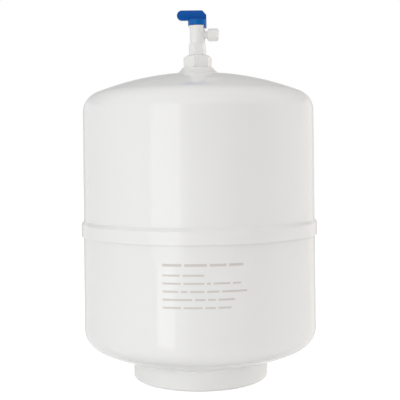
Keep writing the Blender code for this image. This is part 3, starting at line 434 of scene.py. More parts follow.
def working_piece(shape):
    """Stores a shape as a piece for a modifier to work on, and uses the shape up."""
    mesh = bpy.data.meshes.new("working")
    shape.to_mesh(mesh)
    shape.free()
    piece = bpy.data.objects.new("working", mesh)
    bpy.context.scene.collection.objects.link(piece)
    return piece


def discard(piece):
    """Removes a working piece and its mesh."""
    mesh = piece.data
    bpy.data.objects.remove(piece)
    bpy.data.meshes.remove(mesh)


def worked_shape(piece):
    """Hands back a working piece's shape, with its modifier applied, and removes the piece."""
    graph = bpy.context.evaluated_depsgraph_get()
    made = bmesh.new()
    made.from_mesh(piece.evaluated_get(graph).to_mesh())
    discard(piece)
    return made


def combine(shape, other, operation):
    """Unites, cuts or intersects two solids, and hands back the first with the other used up."""
    piece = working_piece(shape)
    tool = working_piece(other)
    modifier = piece.modifiers.new("Combine", "BOOLEAN")
    modifier.operation = operation
    modifier.solver = "EXACT"
    modifier.object = tool
    made = worked_shape(piece)
    discard(tool)
    bmesh.ops.remove_doubles(made, verts=made.verts, dist=MERGE)
    return made


def wall_of(skin, thickness):
    """Gives an open skin its wall, inwards, and hands back the closed solid."""
    piece = working_piece(skin)
    modifier = piece.modifiers.new("Wall", "SOLIDIFY")
    modifier.thickness = thickness
    modifier.offset = -1.0
    modifier.use_even_offset = True
    return worked_shape(piece)


def add_piece(name, shape, finish, body, replaced, sharp=32.0):
    """Stores a finished shape as a piece that rides on a body, in place of a CAD node where one is named."""
    mesh = bpy.data.meshes.new(name)
    shape.to_mesh(mesh)
    shape.free()
    mesh.shade_smooth()
    mesh.set_sharp_from_angle(angle=math.radians(sharp))
    mesh.materials.append(bpy.data.materials[finish])
    piece = bpy.data.objects.new(name, mesh)
    bpy.context.scene.collection.objects.link(piece)
    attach(piece, body)
    if replaced:
        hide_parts(replaced)
    return piece


# Places worked out from the sizes


def crown_centre(radius, tangent, knuckle, crown, way):
    """Height of a head's centre, where way is 1 for the upper head and -1 for the lower."""
    return tangent - way * math.sqrt((crown - knuckle) ** 2 - (radius - knuckle) ** 2)


def knuckle_sweep(radius, knuckle, crown):
    """Angle that a knuckle turns through, from the crown down to the side."""
    return math.acos((radius - knuckle) / (crown - knuckle))


def upper_centre(bowl):
    return crown_centre(bowl.body_radius, bowl.upper_tangent, bowl.upper_knuckle, bowl.upper_crown, 1)


def lower_centre(bowl):
    return crown_centre(bowl.lower_radius, bowl.lower_tangent, bowl.lower_knuckle, bowl.lower_crown, -1)


def under_bowl(bowl, radius):
    """Height just under the lower bowl's skin at a radius."""
    return lower_centre(bowl) - math.sqrt(bowl.lower_crown**2 - radius**2) - bowl.fit


def port_seat(bowl):
    """Height of the flat seat round the port."""
    return upper_centre(bowl) + bowl.upper_crown + bowl.neck_rise


def valve_foot(scene):
    bowl = scene.bowl_sizes
    valve = scene.valve_sizes
    return port_seat(bowl) + bowl.fit + valve.nut_height + valve.base_gap


def outlet_height(scene):
    return valve_foot(scene) + scene.valve_sizes.outlet_height


def outlet_axis(scene):
    return Matrix.Translation((0.0, 0.0, outlet_height(scene))) @ Matrix.Rotation(math.pi / 2, 4, "Y")


def collar_top(scene):
    return outlet_height(scene) + scene.valve_sizes.collar_start + scene.valve_sizes.collar_height


def boss_top(scene):
    return collar_top(scene) + scene.valve_sizes.boss_height


def lever_underside(scene):
    """Height of the lever's underside, where the skirt comes out below it."""
    handle = scene.handle_sizes
    return collar_top(scene) + handle.skirt_gap + handle.skirt_height - handle.lever_drop


def air_axis(scene):
    """The air valve's axis, square to the lower bowl's knuckle at the back, from the outer skin outwards."""
    bowl = scene.bowl_sizes
    tilt = scene.air_valve_sizes.tilt
    outward_way = Vector((0.0, math.cos(tilt), -math.sin(tilt)))
    centre = Vector((0.0, bowl.lower_radius - bowl.lower_knuckle, bowl.lower_tangent))
    turn = Vector((0.0, 0.0, 1.0)).rotation_difference(outward_way).to_matrix().to_4x4()
    return Matrix.Translation(centre + outward_way * bowl.lower_knuckle) @ turn


# Nodes and materials


class Nodes:
    """A node tree, with short ways to add a node and to work out a value."""

    def __init__(self, tree):
        self.tree = tree

    def feed(self, socket, value):
        """Sets a socket to a number or colour, or links it to another node's output."""
        if isinstance(value, bpy.types.NodeSocket):
            self.tree.links.new(value, socket)
        else:
            socket.default_value = value

    def add(self, kind, inputs=(), **settings):
        """Adds a node, makes its settings and feeds its inputs."""
        node = self.tree.nodes.new(kind)
        for key, value in settings.items():
            setattr(node, key, value)
        for key, value in dict(inputs).items():
            self.feed(node.inputs[key], value)
        return node

    def work_out(self, operation, first, second):
        """Puts two values through a Math node."""
        return self.add("ShaderNodeMath", {0: first, 1: second}, operation=operation).outputs[0]

    def mix(self, share, first, second, kind="FLOAT"):
        """Goes from the first to the second as the share goes from 0 to 1."""
        inputs = {"Factor": share, "A": first, "B": second}
        return self.add("ShaderNodeMix", inputs, data_type=kind).outputs["Result"]

    def ramp(self, value, reach, low=0.0, high=1.0, interpolation="SMOOTHSTEP"):
        """Goes from low to high as the value goes through its reach."""
        inputs = {"Value": value, "From Min": reach[0], "From Max": reach[1], "To Min": low, "To Max": high}
        return self.add("ShaderNodeMapRange", inputs, interpolation_type=interpolation).outputs["Result"]


class Surface(Nodes):
    """A Principled surface whose texture nodes read the piece's own Object coordinates."""

    def __init__(self, name, base, roughness, metallic=0.0):
        self.material = bpy.data.materials.new(name)
        self.material.use_nodes = True
        super().__init__(self.material.node_tree)
        self.shader = self.tree.nodes["Principled BSDF"].inputs
        self.shader["Base Color"].default_value = (*base, 1.0)
        self.shader["Roughness"].default_value = roughness
        self.shader["Metallic"].default_value = metallic
        self.base = base
        self.colour = None
        self.normal = None
        self.coordinates = self.add("ShaderNodeTexCoord").outputs["Object"]

    def noise(self, scale, detail, stretch=None):
        """A noise over the piece, stretched by a factor along each axis where one is given."""
        source = self.coordinates
        if stretch:
            source = self.add("ShaderNodeMapping", {"Vector": source, "Scale": stretch}).outputs["Vector"]
        inputs = {"Vector": source, "Scale": scale, "Detail": detail}
        return self.add("ShaderNodeTexNoise", inputs).outputs["Fac"]

    def vary_colour(self, scale, detail, darker, lighter):
        """Lets the base colour drift a little."""
        first = (*[c * darker for c in self.base], 1.0)
        second = (*[min(1.0, c * lighter) for c in self.base], 1.0)
        self.colour = self.mix(self.noise(scale, detail), first, second, "RGBA")
        self.feed(self.shader["Base Color"], self.colour)

    def change_below(self, height, blend, base):
        """Gives the piece another colour below a height."""
        up = self.add("ShaderNodeSeparateXYZ", {"Vector": self.coordinates}).outputs["Z"]
        share = self.ramp(up, (height - blend, height + blend), interpolation="LINEAR")
        self.feed(self.shader["Base Color"], self.mix(share, (*base, 1.0), self.colour, "RGBA"))

    def vary_roughness(self, scale, detail, low, high):
        """Lets the roughness drift between two values."""
        drift = self.ramp(self.noise(scale, detail), (0.0, 1.0), low, high, "LINEAR")
        self.feed(self.shader["Roughness"], drift)

    def bump(self, scale, detail, strength, distance, stretch=None):
        """Adds a layer of relief over what is there."""
        inputs = {"Height": self.noise(scale, detail, stretch), "Strength": strength, "Distance": distance}
        if self.normal:
            inputs["Normal"] = self.normal
        self.normal = self.add("ShaderNodeBump", inputs).outputs["Normal"]
        self.feed(self.shader["Normal"], self.normal)


def enamel_surface(name, base):
    """Glossy baked enamel, with the slight orange peel of a sprayed coat."""
    surface = Surface(name, base, roughness=0.06)
    surface.vary_colour(scale=9.0, detail=3.0, darker=0.985, lighter=1.01)
    surface.vary_roughness(scale=60.0, detail=4.0, low=0.04, high=0.09)
    surface.bump(scale=420.0, detail=1.0, strength=0.04, distance=0.0003)
    surface.bump(scale=28.0, detail=1.0, strength=0.03, distance=0.002)
    return surface


def satin_surface(name, base):
    """The base ring's enamel, with a softer shine than the bowls, and painted lighter than them to lift the
    shade under the bowl.
    """
    surface = Surface(name, base, roughness=0.4)
    surface.vary_colour(scale=14.0, detail=3.0, darker=0.98, lighter=1.01)
    surface.vary_roughness(scale=90.0, detail=4.0, low=0.34, high=0.46)
    surface.bump(scale=500.0, detail=1.0, strength=0.05, distance=0.0003)
    return surface


def moulded_surface(name, base, roughness):
    """Injection-moulded plastic, with a faint texture and the flow of the melt."""
    surface = Surface(name, base, roughness)
    surface.vary_colour(scale=120.0, detail=3.0, darker=0.97, lighter=1.02)
    surface.vary_roughness(scale=300.0, detail=3.0, low=roughness - 0.06, high=roughness + 0.08)
    surface.bump(scale=1600.0, detail=2.0, strength=0.08, distance=0.0001)
    surface.bump(scale=160.0, detail=2.0, strength=0.08, distance=0.0006)
    return surface


def blue_surface(name, base, painted_reflection, height):
    """Deep blue moulded plastic, painted lighter below a height, on the skirt: a painted reflection in place
    of the skirt's gloss.
    """
    surface = moulded_surface(name, base, 0.2)
    surface.shader["Specular IOR Level"].default_value = 0.2
    # Painted reflection: the skirt below the lever is given a lighter blue in place of its gloss.
    surface.change_below(height, blend=0.0004, base=painted_reflection)
    return surface


def turned_surface(name, base, roughness):
    """Turned metal, with fine tool marks and a little dulling."""
    surface = Surface(name, base, roughness, metallic=1.0)
    surface.vary_colour(scale=220.0, detail=3.0, darker=0.9, lighter=1.05)
    surface.vary_roughness(scale=380.0, detail=4.0, low=roughness - 0.08, high=roughness + 0.12)
    surface.bump(scale=600.0, detail=2.0, strength=0.15, distance=0.00008, stretch=(1.0, 1.0, 9.0))
    return surface


def rubber_surface(name, base):
    """Moulded rubber with a dusty bloom."""
    surface = Surface(name, base, roughness=0.7)
    surface.vary_colour(scale=90.0, detail=4.0, darker=0.8, lighter=1.9)
    surface.vary_roughness(scale=200.0, detail=4.0, low=0.58, high=0.82)
    surface.bump(scale=900.0, detail=3.0, strength=0.2, distance=0.0002)
    return surface


class TANK_OT_materials(bpy.types.Operator):
    """Makes every finish and puts it on the pieces that the frame already holds"""

    bl_idname = "tank.materials"
    bl_label = "Materials"

    def execute(self, context):
        colours = context.scene.finishes
        skirt_top = lever_underside(context.scene)
        made = {
            "white_enamel": enamel_surface("baked_enamel", colours.enamel),
            "white_plastic": moulded_surface("white_moulding", colours.moulding, 0.25),
            # The skirt's colour is a painted reflection.
            "blue_plastic": blue_surface("blue_moulding", colours.handle, colours.skirt, skirt_top),
            "stainless": turned_surface("stainless_steel", colours.steel, 0.28),
            "galvanised": turned_surface("zinc_plate", colours.zinc, 0.42),
            "liner_plastic": moulded_surface("liner_moulding", colours.liner, 0.5),
            "black_rubber": rubber_surface("moulded_rubber", colours.rubber),
            "seat_white": moulded_surface("seat_plastic", colours.seat, 0.4),
            "brass": turned_surface("turned_brass", colours.brass, 0.26),
            "black_plastic": moulded_surface("black_moulding", colours.cap, 0.42),
        }
        # The ring's lighter colour is painted light against the shade under the bowl.
        satin_surface("satin_enamel", colours.stand_painted_lighter)
        moulded_surface("printed_ink", colours.print_ink, 0.3)
        for part in frame["record"]["subparts"]:
            node = frame["nodes"][part["node"]]
            node.data.materials.clear()
            node.data.materials.append(made[part["material_slot"]].material)
        return {"FINISHED"}


# Tank

# Steps round a full turn.
BOWL_STEPS = 192
RING_STEPS = 160
NUT_STEPS = 128
CAP_STEPS = 120
VALVE_STEPS = 96
BORE_STEPS = 64
AIR_STEPS = 48
DRILL_STEPS = 32
# Steps along an arc of a section.
CROWN_STEPS = 22
KNUCKLE_STEPS = 18
FLARE_STEPS = 10
BEND_STEPS = 8
JOGGLE_STEPS = 6
CORNER_STEPS = 5
EDGE_STEPS = 4
# Rounding of the skirt's sheared edge, as a share of the wall, and the least angle, in radians, that tells
# the edge from the wall beside it.
RIM_EASE = 0.22
SHEARED = 1.0
# How far a drill goes on either side of the bowl's skin.
DRILL_REACH = 0.008


class TANK_OT_upper_bowl(bpy.types.Operator):
    """Presses the upper bowl: port seat, flared neck, domed head, side and stepped skirt"""

    bl_idname = "tank.upper_bowl"
    bl_label = "Upper bowl"

    def execute(self, context):
        bowl = context.scene.bowl_sizes
        section = Section(bowl.port_hole, port_seat(bowl))
        draw_head(section, bowl)
        draw_skirt(section, bowl)
        solid = wall_of(outward(section.turn(BOWL_STEPS)), bowl.wall)
        ease_rim(solid, bowl.band_bottom, bowl.wall * RIM_EASE)
        add_piece("upper_bowl", solid, "baked_enamel", "tank", "upper_shell")
        return {"FINISHED"}


def draw_head(section, bowl):
    """Draws the port's seat, the neck, the crown and the knuckle."""
    centre = upper_centre(bowl)
    seat = port_seat(bowl)
    flare = neck_flare(bowl, centre, seat)
    knuckle = knuckle_sweep(bowl.body_radius, bowl.upper_knuckle, bowl.upper_crown)
    section.run(flare["edge"], seat)
    section.bend(flare["edge"], seat - bowl.neck_edge, flare["steep"], EDGE_STEPS)
    section.bend(*flare["centre"], -flare["sweep"], FLARE_STEPS)
    section.bend(0.0, centre, math.pi / 2 - knuckle - flare["lean"], CROWN_STEPS)
    section.bend(bowl.body_radius - bowl.upper_knuckle, bowl.upper_tangent, knuckle, KNUCKLE_STEPS)


def draw_skirt(section, bowl):
    """Draws the side, the joggle's two bends and the skirt down to its edge."""
    foot = bowl.band_bottom + bowl.band_height
    top = foot + bowl.joggle
    bend = joggle_bend(bowl)
    lean = bowl.joggle_lean
    section.run(bowl.body_radius, top)
    section.bend(bowl.body_radius + bend, top, -lean, JOGGLE_STEPS)
    section.line((bowl.band_radius - bend * (1 - math.cos(lean)), foot + bend * math.sin(lean)))
    section.bend(bowl.band_radius - bend, foot, lean, JOGGLE_STEPS)
    section.run(bowl.band_radius, bowl.band_bottom + bowl.wall * RIM_EASE + HOLD)
    section.line((bowl.band_radius, bowl.band_bottom))


def neck_flare(bowl, centre, seat):
    """The neck's concave flare, tangent to the crown below and to the seat's rounded edge above."""
    fillet = bowl.neck_fillet
    reach = bowl.upper_crown + fillet
    rise = seat - centre
    span = math.hypot(bowl.neck_radius, rise)
    along = (reach**2 - fillet**2 + span**2) / (2 * span)
    aside = math.sqrt(reach**2 - along**2)
    unit = (bowl.neck_radius / span, rise / span)
    middle = (unit[0] * along + unit[1] * aside, centre + unit[1] * along - unit[0] * aside)
    drop = middle[1] - (seat - bowl.neck_edge)
    gap = math.sqrt((fillet + bowl.neck_edge) ** 2 - drop**2)
    lean = math.atan2(middle[0], middle[1] - centre)
    steep = math.pi / 2 - math.atan2(drop, gap)
    return {"centre": middle, "edge": middle[0] - gap, "steep": steep, "sweep": steep - lean, "lean": lean}


def joggle_bend(bowl):
    """Radius of the two bends that lead from the side out along the leaning step and back to the skirt."""
    step = bowl.band_radius - bowl.body_radius
    lean = bowl.joggle_lean
    return (bowl.joggle * math.sin(lean) - step * math.cos(lean)) / 2 / (1 - math.cos(lean))


def outward(skin):
    """Turns a skin's faces so that they point away from its middle."""
    heights = [vert.co.z for vert in skin.verts]
    middle = Vector((0.0, 0.0, (min(heights) + max(heights)) / 2))
    votes = 0.0
    for face in skin.faces:
        votes += face.normal.dot(face.calc_center_median() - middle) * face.calc_area()
    if votes < 0:
        bmesh.ops.reverse_faces(skin, faces=skin.faces)
    return skin


def ease_rim(solid, height, width):
    """Rounds the two edges of a sheared rim that lies at a height."""
    level_edges = [
        edge for edge in solid.edges if all(abs(vert.co.z - height) < MERGE for vert in edge.verts)
    ]
    round_edges(solid, [edge for edge in level_edges if edge.calc_face_angle(0.0) > SHEARED], width, steps=3)


class TANK_OT_lower_bowl(bpy.types.Operator):
    """Presses the lower bowl: a flared rim inside the skirt, the side and the domed bottom"""

    bl_idname = "tank.lower_bowl"
    bl_label = "Lower bowl"

    def execute(self, context):
        scene = context.scene
        bowl = scene.bowl_sizes
        rim = bowl.band_radius - bowl.wall - bowl.fit
        flare = bowl.band_bottom + bowl.flare_start
        knuckle = knuckle_sweep(bowl.lower_radius, bowl.lower_knuckle, bowl.lower_crown)
        section = Section(rim, bowl.band_bottom + bowl.band_height - bowl.wall)
        section.line((rim, flare + bowl.flare_height), (bowl.lower_radius, flare))
        section.run(bowl.lower_radius, bowl.lower_tangent)
        section.bend(bowl.lower_radius - bowl.lower_knuckle, bowl.lower_tangent, knuckle, KNUCKLE_STEPS)
        section.bend(0.0, lower_centre(bowl), math.pi / 2 - knuckle, CROWN_STEPS)
        solid = wall_of(outward(section.turn(BOWL_STEPS)), bowl.wall)
        hole = scene.air_valve_sizes.hole
        drill = Section(0.0, DRILL_REACH)
        drill.line((hole, DRILL_REACH), (hole, -DRILL_REACH), (0.0, -DRILL_REACH))
        solid = combine(solid, place(drill.turn(DRILL_STEPS), air_axis(scene)), "DIFFERENCE")
        add_piece("lower_bowl", solid, "baked_enamel", "tank", "lower_shell")
        return {"FINISHED"}


class TANK_OT_stand_ring(bpy.types.Operator):
    """Rolls the ring that the tank stands on, with its foot turned inwards"""

    bl_idname = "tank.stand_ring"
    bl_label = "Stand ring"

    def execute(self, context):
        bowl = context.scene.bowl_sizes
        outer = bowl.ring_radius
        inner = outer - bowl.ring_wall
        bend = outer - bowl.ring_bend
        foot = outer - bowl.ring_foot
        section = Section(outer, under_bowl(bowl, outer))
        section.run(outer, bowl.ring_bend)
        section.bend(bend, bowl.ring_bend, math.pi / 2, BEND_STEPS)
        section.line((foot, 0.0), (foot, bowl.ring_wall), (bend, bowl.ring_wall))
        section.bend(bend, bowl.ring_bend, -math.pi / 2, EDGE_STEPS)
        section.line((inner, under_bowl(bowl, inner)))
        solid = section.close().turn(RING_STEPS)
        add_piece("stand_ring", solid, "satin_enamel", "tank", "base_ring")
        return {"FINISHED"}


# Lengths of the bars in each row, in millimetres round the bowl.
PRINT_ROWS = (
    (21, 24, 18, 16),
    (19, 23),
    (20, 22, 4, 18, 9),
    (17, 7, 15, 13, 28),
    (32, 11, 8, 18),
    (20, 20, 11, 14),
)
# Millimetres in a metre.
MILLIMETRES = 1000
# Sweep of each step of a bar.
BAR_STEP = math.radians(1.5)


class TANK_OT_print_block(bpy.types.Operator):
    """Prints a block of plain bars on the front of the lower bowl"""

    bl_idname = "tank.print_block"
    bl_label = "Print block"

    def execute(self, context):
        radius = context.scene.bowl_sizes.lower_radius
        sizes = context.scene.print_sizes
        shape = bmesh.new()
        for row, bars in enumerate(PRINT_ROWS):
            middle = sizes.top if row == 0 else sizes.top - sizes.first_pitch - (row - 1) * sizes.pitch
            half = (sizes.first_height if row == 0 else sizes.height) / 2
            start = -sizes.left
            for bar in bars:
                end = start + bar / MILLIMETRES
                add_bar(shape, radius, sizes, (start, end), (middle - half, middle + half))
                start = end + sizes.gap
        add_piece("print_block", shape, "printed_ink", "tank", None)
        return {"FINISHED"}


def add_bar(shape, radius, sizes, reach, heights):
    """Adds a slim curved bar, its ends given as distances round the bowl from the front's middle."""
    front = -math.pi / 2
    first, last = (front + distance / radius for distance in reach)
    bar = working_piece(
        sector(radius - sizes.sink, radius + sizes.relief, first, last, *heights, BAR_STEP)
    )
    shape.from_mesh(bar.data)
    discard(bar)


# Port and valve

# Easings of the long edges of the hexagons.
NUT_EASE = 0.0006
HEXAGON_EASE = 0.0005
AIR_NUT_EASE = 0.0002
# Easings of moulded and turned edges.
LIP = 0.0004
EASE = 0.0003
MOUTH_EASE = 0.0002
FINE_EASE = 0.0001
# Sweep of the collar's rounded lip, past the upright.
LIP_SWEEP = math.radians(110)
# Reach of a turned chamfer, inwards and downwards, as shares of its size.
CHAMFER_IN = 1.2
CHAMFER_DOWN = 0.7
# How far a turned shape stands clear of the corners that it leaves uncut.
CLEAR = MERGE * 10
# Rounding between the arm and the barrel.
ARM_FILLET = 0.0007
# How far a bore or a pocket is cut past the face that it opens in.
BORE_OVERRUN = 0.002
POCKET_OVERRUN = 0.001


class TANK_OT_neck_nut(bpy.types.Operator):
    """Moulds the large port nut: a hexagon with a cone turned on its top"""

    bl_idname = "tank.neck_nut"
    bl_label = "Neck nut"

    def execute(self, context):
        scene = context.scene
        valve = scene.valve_sizes
        fit = scene.bowl_sizes.fit
        low = port_seat(scene.bowl_sizes) + fit
        top = low + valve.nut_height
        corner = corner_radius(valve.nut_flats) + fit
        bore = valve.nipple_radius + fit
        section = Section(bore, top)
        section.line((valve.nut_chamfer_radius, top), (corner, top - valve.nut_chamfer_height))
        section.line((corner, low), (bore, low))
        bar = hexagon(valve.nut_flats, low, top, valve.nut_turn, NUT_EASE)
        solid = combine(bar, section.close().turn(NUT_STEPS), "INTERSECT")
        add_piece("neck_nut", solid, "white_moulding", "tank", "port_nut", sharp=20.0)
        return {"FINISHED"}


class TANK_OT_valve_casting(bpy.types.Operator):
    """Moulds the valve's body: hexagon, barrel, collar, boss and threaded arm, bored right through"""

    bl_idname = "tank.valve_casting"
    bl_label = "Valve body"

    def execute(self, context):
        scene = context.scene
        solid = valve_barrel(scene)
        for shape in (valve_spanner_foot, valve_arm):
            solid = combine(solid, shape(scene), "UNION")
        for cut in (valve_waterway, valve_outlet, stop_recess):
            solid = combine(solid, cut(scene), "DIFFERENCE")
        add_piece("valve_casting", solid, "white_moulding", "tank", "valve_body", sharp=28.0)
        return {"FINISHED"}


def valve_barrel(scene):
    """The barrel, with its flared collar and the boss inside the handle."""
    valve = scene.valve_sizes
    boss = boss_top(scene)
    top = collar_top(scene)
    lip = valve.collar_radius - LIP
    flare = top - valve.collar_height
    foot = valve_foot(scene) + valve.hex_chamfer
    section = Section(0.0, boss)
    section.line((valve.boss_radius - LIP, boss), (valve.boss_radius, boss - LIP))
    section.line((valve.boss_radius, top), (lip, top))
    section.bend(lip, top - LIP, LIP_SWEEP, CORNER_STEPS)
    section.line((valve.barrel_radius + FINE_EASE, flare + EASE), (valve.barrel_radius, flare - EASE))
    section.run(valve.barrel_radius, foot)
    section.line((0.0, foot))
    return section.turn(VALVE_STEPS)


def valve_spanner_foot(scene):
    """The hexagon at the valve's foot, its corners turned off at both ends."""
    valve = scene.valve_sizes
    low = valve_foot(scene)
    top = low + valve.hex_height
    outer = corner_radius(valve.hex_flats) + CLEAR
    inner = corner_radius(valve.hex_flats) - valve.hex_chamfer * CHAMFER_IN
    cut = valve.hex_chamfer * CHAMFER_DOWN
    section = Section(0.0, top)
    section.line((inner, top), (outer, top - cut), (outer, low + cut), (inner, low), (0.0, low))
    bar = hexagon(valve.hex_flats, low, top, valve.hex_turn, HEXAGON_EASE)
    return combine(bar, section.turn(VALVE_STEPS), "INTERSECT")


def valve_arm(scene):
    """The outlet arm: a neck, then a thread for the nut."""
    valve = scene.valve_sizes
    root = valve.arm_thread - valve.thread_depth
    start = valve.arm_thread_start
    end = valve.arm_end
    fillet = (valve.arm_neck + ARM_FILLET, valve.barrel_radius + ARM_FILLET)
    inside = valve.barrel_radius / 2
    section = Section(0.0, end)
    section.line((root - EASE, end), (root, end - EASE), (root, start), (valve.arm_neck, start))
    section.line((valve.arm_neck, fillet[1]))
    section.bend(*fillet, -math.pi / 2, CORNER_STEPS)
    section.line((fillet[0], inside), (0.0, inside))
    ridge = thread(valve.arm_thread, valve.thread_depth, valve.thread_pitch, start, end - EASE)
    return place(combine(section.turn(BORE_STEPS), ridge, "UNION"), outlet_axis(scene))


def valve_waterway(scene):
    """The way up through the middle, from the port's thread to the stem's bore."""
    valve = scene.valve_sizes
    foot = valve_foot(scene)
    port = foot + valve.port_depth
    below = foot - BORE_OVERRUN
    above = boss_top(scene) + BORE_OVERRUN
    chamber = outlet_height(scene) + valve.ball_radius + valve.cavity_top
    collar = chamber + valve.stem_collar
    section = Section(0.0, above)
    section.line((valve.stem_bore, above), (valve.stem_bore, collar))
    section.line((valve.stem_collar_bore, collar), (valve.stem_collar_bore, chamber))
    section.line((valve.cavity_radius, chamber), (valve.cavity_radius, port))
    section.line((valve.port_radius, port), (valve.port_radius, below), (0.0, below))
    return section.turn(BORE_STEPS)


def valve_outlet(scene):
    """The way out along the arm: seat pocket, waterway, tube socket and mouth."""
    valve = scene.valve_sizes
    end = valve.arm_end
    mouth = end + valve.mouth_depth
    section = Section(0.0, mouth)
    section.line((valve.mouth_radius, mouth), (valve.mouth_radius, end))
    section.line((valve.socket_radius, end - valve.mouth_depth), (valve.socket_radius, valve.socket_start))
    section.line((valve.ball_bore, valve.socket_start), (valve.ball_bore, valve.seat_outer))
    section.line((valve.seat_radius, valve.seat_outer), (valve.seat_radius, 0.0), (0.0, 0.0))
    return place(section.turn(BORE_STEPS), outlet_axis(scene))


def stop_recess(scene):
    """The gap in the collar that the handle's stop swings through, a quarter turn and its own width."""
    handle = scene.handle_sizes
    fit = scene.bowl_sizes.fit
    low = collar_top(scene) + handle.skirt_gap - handle.stop_height - fit
    return sector(
        handle.skirt_radius - handle.stop_wall - fit, handle.skirt_radius + handle.stop_wall,
        handle.stop_first - handle.stop_margin, handle.stop_last + math.pi / 2 + handle.stop_margin,
        low, boss_top(scene) + POCKET_OVERRUN,
    )


class TANK_OT_lever(bpy.types.Operator):
    """Moulds the blue handle: round skirt, upright lever with its rounded tip, and the stop"""

    bl_idname = "tank.lever"
    bl_label = "Lever handle"

    def execute(self, context):
        scene = context.scene
        handle = scene.handle_sizes
        low = collar_top(scene) + handle.skirt_gap
        top = low + handle.skirt_height
        stop = sector(
            handle.skirt_radius - handle.stop_wall, handle.skirt_radius, handle.stop_first, handle.stop_last,
            low - handle.stop_height, low + handle.skirt_wall / 2,
        )
        floor = boss_top(scene) - POCKET_OVERRUN
        ceiling = boss_top(scene) + handle.drive_height
        side = handle.drive_side
        socket = block((side, side, ceiling - floor), (0.0, 0.0, (floor + ceiling) / 2))
        solid = combine(handle_skirt(scene, low, top), lever_blade(handle, top), "UNION")
        solid = combine(solid, stop, "UNION")
        solid = combine(solid, socket, "DIFFERENCE")
        add_piece("lever_handle", solid, "blue_moulding", "lever", "valve_handle", sharp=40.0)
        return {"FINISHED"}


def handle_skirt(scene, low, top):
    """The handle's round skirt, closed at the top and hollow over the boss."""
    handle = scene.handle_sizes
    outer = handle.skirt_radius
    inner = outer - handle.skirt_wall
    corner = outer - handle.corner
    ceiling = boss_top(scene) + scene.bowl_sizes.fit
    section = Section(0.0, top)
    section.line((corner, top))
    section.bend(corner, top - handle.corner, math.pi / 2, CORNER_STEPS)
    section.run(outer, low + EASE)
    section.line((outer - EASE, low), (inner, low), (inner, ceiling), (0.0, ceiling))
    return section.turn(VALVE_STEPS)


# Steps round the lever's tip.
TIP_STEPS = 24
# The edges across the lever are rounder than its rims by this factor. Both are found by their angles.
CORNER_SHARE = 1.3
CORNER_ANGLE = math.radians(20)
RIM_ANGLE = math.radians(60)


def lever_blade(handle, top):
    """The upright lever: its side outline is drawn, filled, given its thickness and eased on every edge."""
    half = handle.lever_height / 2
    low = top - handle.lever_drop
    high = low + handle.lever_height
    tip = half - handle.lever_reach
    tail = handle.lever_tail
    outline = Section(tip, low).bend(tip, low + half, math.pi, TIP_STEPS)
    outline.line((tail - handle.slope_run, high), (tail, high - handle.slope_drop), (tail, low))
    shape = outline.close().shape
    bmesh.ops.contextual_create(shape, geom=shape.edges[:])
    thickness = Vector((0.0, handle.lever_thickness, 0.0))
    bmesh.ops.translate(shape, vec=-thickness / 2, verts=shape.verts)
    made = bmesh.ops.extrude_face_region(shape, geom=shape.faces[:])
    far_side = [item for item in made["geom"] if isinstance(item, bmesh.types.BMVert)]
    bmesh.ops.translate(shape, vec=thickness, verts=far_side)
    bmesh.ops.recalc_face_normals(shape, faces=shape.faces)
    across = [edge for edge in shape.edges if abs(edge.verts[0].co.y - edge.verts[1].co.y) > MERGE]
    corners = [edge for edge in across if edge.calc_face_angle(0.0) > CORNER_ANGLE]
    round_edges(shape, corners, handle.edge * CORNER_SHARE)
    round_edges(shape, [edge for edge in shape.edges if edge.calc_face_angle(0.0) > RIM_ANGLE], handle.edge)
    return shape


class TANK_OT_tube_fitting(bpy.types.Operator):
    """Moulds the tube nut and the ferrule inside it"""

    bl_idname = "tank.tube_fitting"
    bl_label = "Tube nut and ferrule"

    def execute(self, context):
        scene = context.scene
        axis = outlet_axis(scene)
        nut = place(tube_nut(scene), axis)
        add_piece("tube_nut", nut, "white_moulding", "outlet_nut", "outlet_nut", sharp=20.0)
        ferrule = place(tube_ferrule(scene), axis)
        add_piece("tube_ferrule", ferrule, "seat_plastic", "ferrule", "outlet_ferrule")
        return {"FINISHED"}


def ferrule_start(scene):
    """Distance from the valve's axis where the ferrule begins, in the arm's mouth."""
    valve = scene.valve_sizes
    return valve.arm_end - valve.mouth_depth + 2 * scene.bowl_sizes.fit


def tube_nut(scene):
    """The compression nut: a hexagon with a tapered end and a cone on its outer end."""
    outlet = scene.outlet_sizes
    fit = scene.bowl_sizes.fit
    start = outlet.nut_start
    end = start + outlet.nut_length
    corner = corner_radius(outlet.nut_flats) + fit
    seat = ferrule_start(scene) + outlet.ferrule_length + fit
    bore = scene.valve_sizes.arm_thread + fit
    section = Section(outlet.hole + MOUTH_EASE, end)
    section.line((outlet.nut_face - MOUTH_EASE, end), (outlet.nut_face, end - FINE_EASE))
    section.line((corner, end - outlet.nut_chamfer), (corner, start + outlet.nut_taper))
    section.line((outlet.nut_small, start + FINE_EASE), (outlet.nut_small - FINE_EASE, start))
    section.line((bore, start), (bore, seat), (outlet.hole, seat), (outlet.hole, end - MOUTH_EASE))
    bar = hexagon(outlet.nut_flats, start, end, 0.0, HEXAGON_EASE)
    return combine(bar, section.close().turn(VALVE_STEPS), "INTERSECT")


def tube_ferrule(scene):
    """The ferrule, its nose on the cone of the arm's mouth."""
    outlet = scene.outlet_sizes
    valve = scene.valve_sizes
    fit = scene.bowl_sizes.fit
    start = ferrule_start(scene)
    back = start + outlet.ferrule_length
    slope = (valve.mouth_radius - valve.socket_radius) / valve.mouth_depth
    nose = valve.socket_radius + slope * fit
    shoulder = start + (outlet.ferrule_radius - nose) / slope
    nose_start = start + (outlet.hole + fit - nose) / slope
    section = Section(outlet.ferrule_radius - fit, back)
    section.line((outlet.ferrule_radius, back - fit), (outlet.ferrule_radius, shoulder))
    section.line((outlet.hole + fit, nose_start), (outlet.hole, nose_start), (outlet.hole, back))
    return section.close().turn(BORE_STEPS)


# Air valve

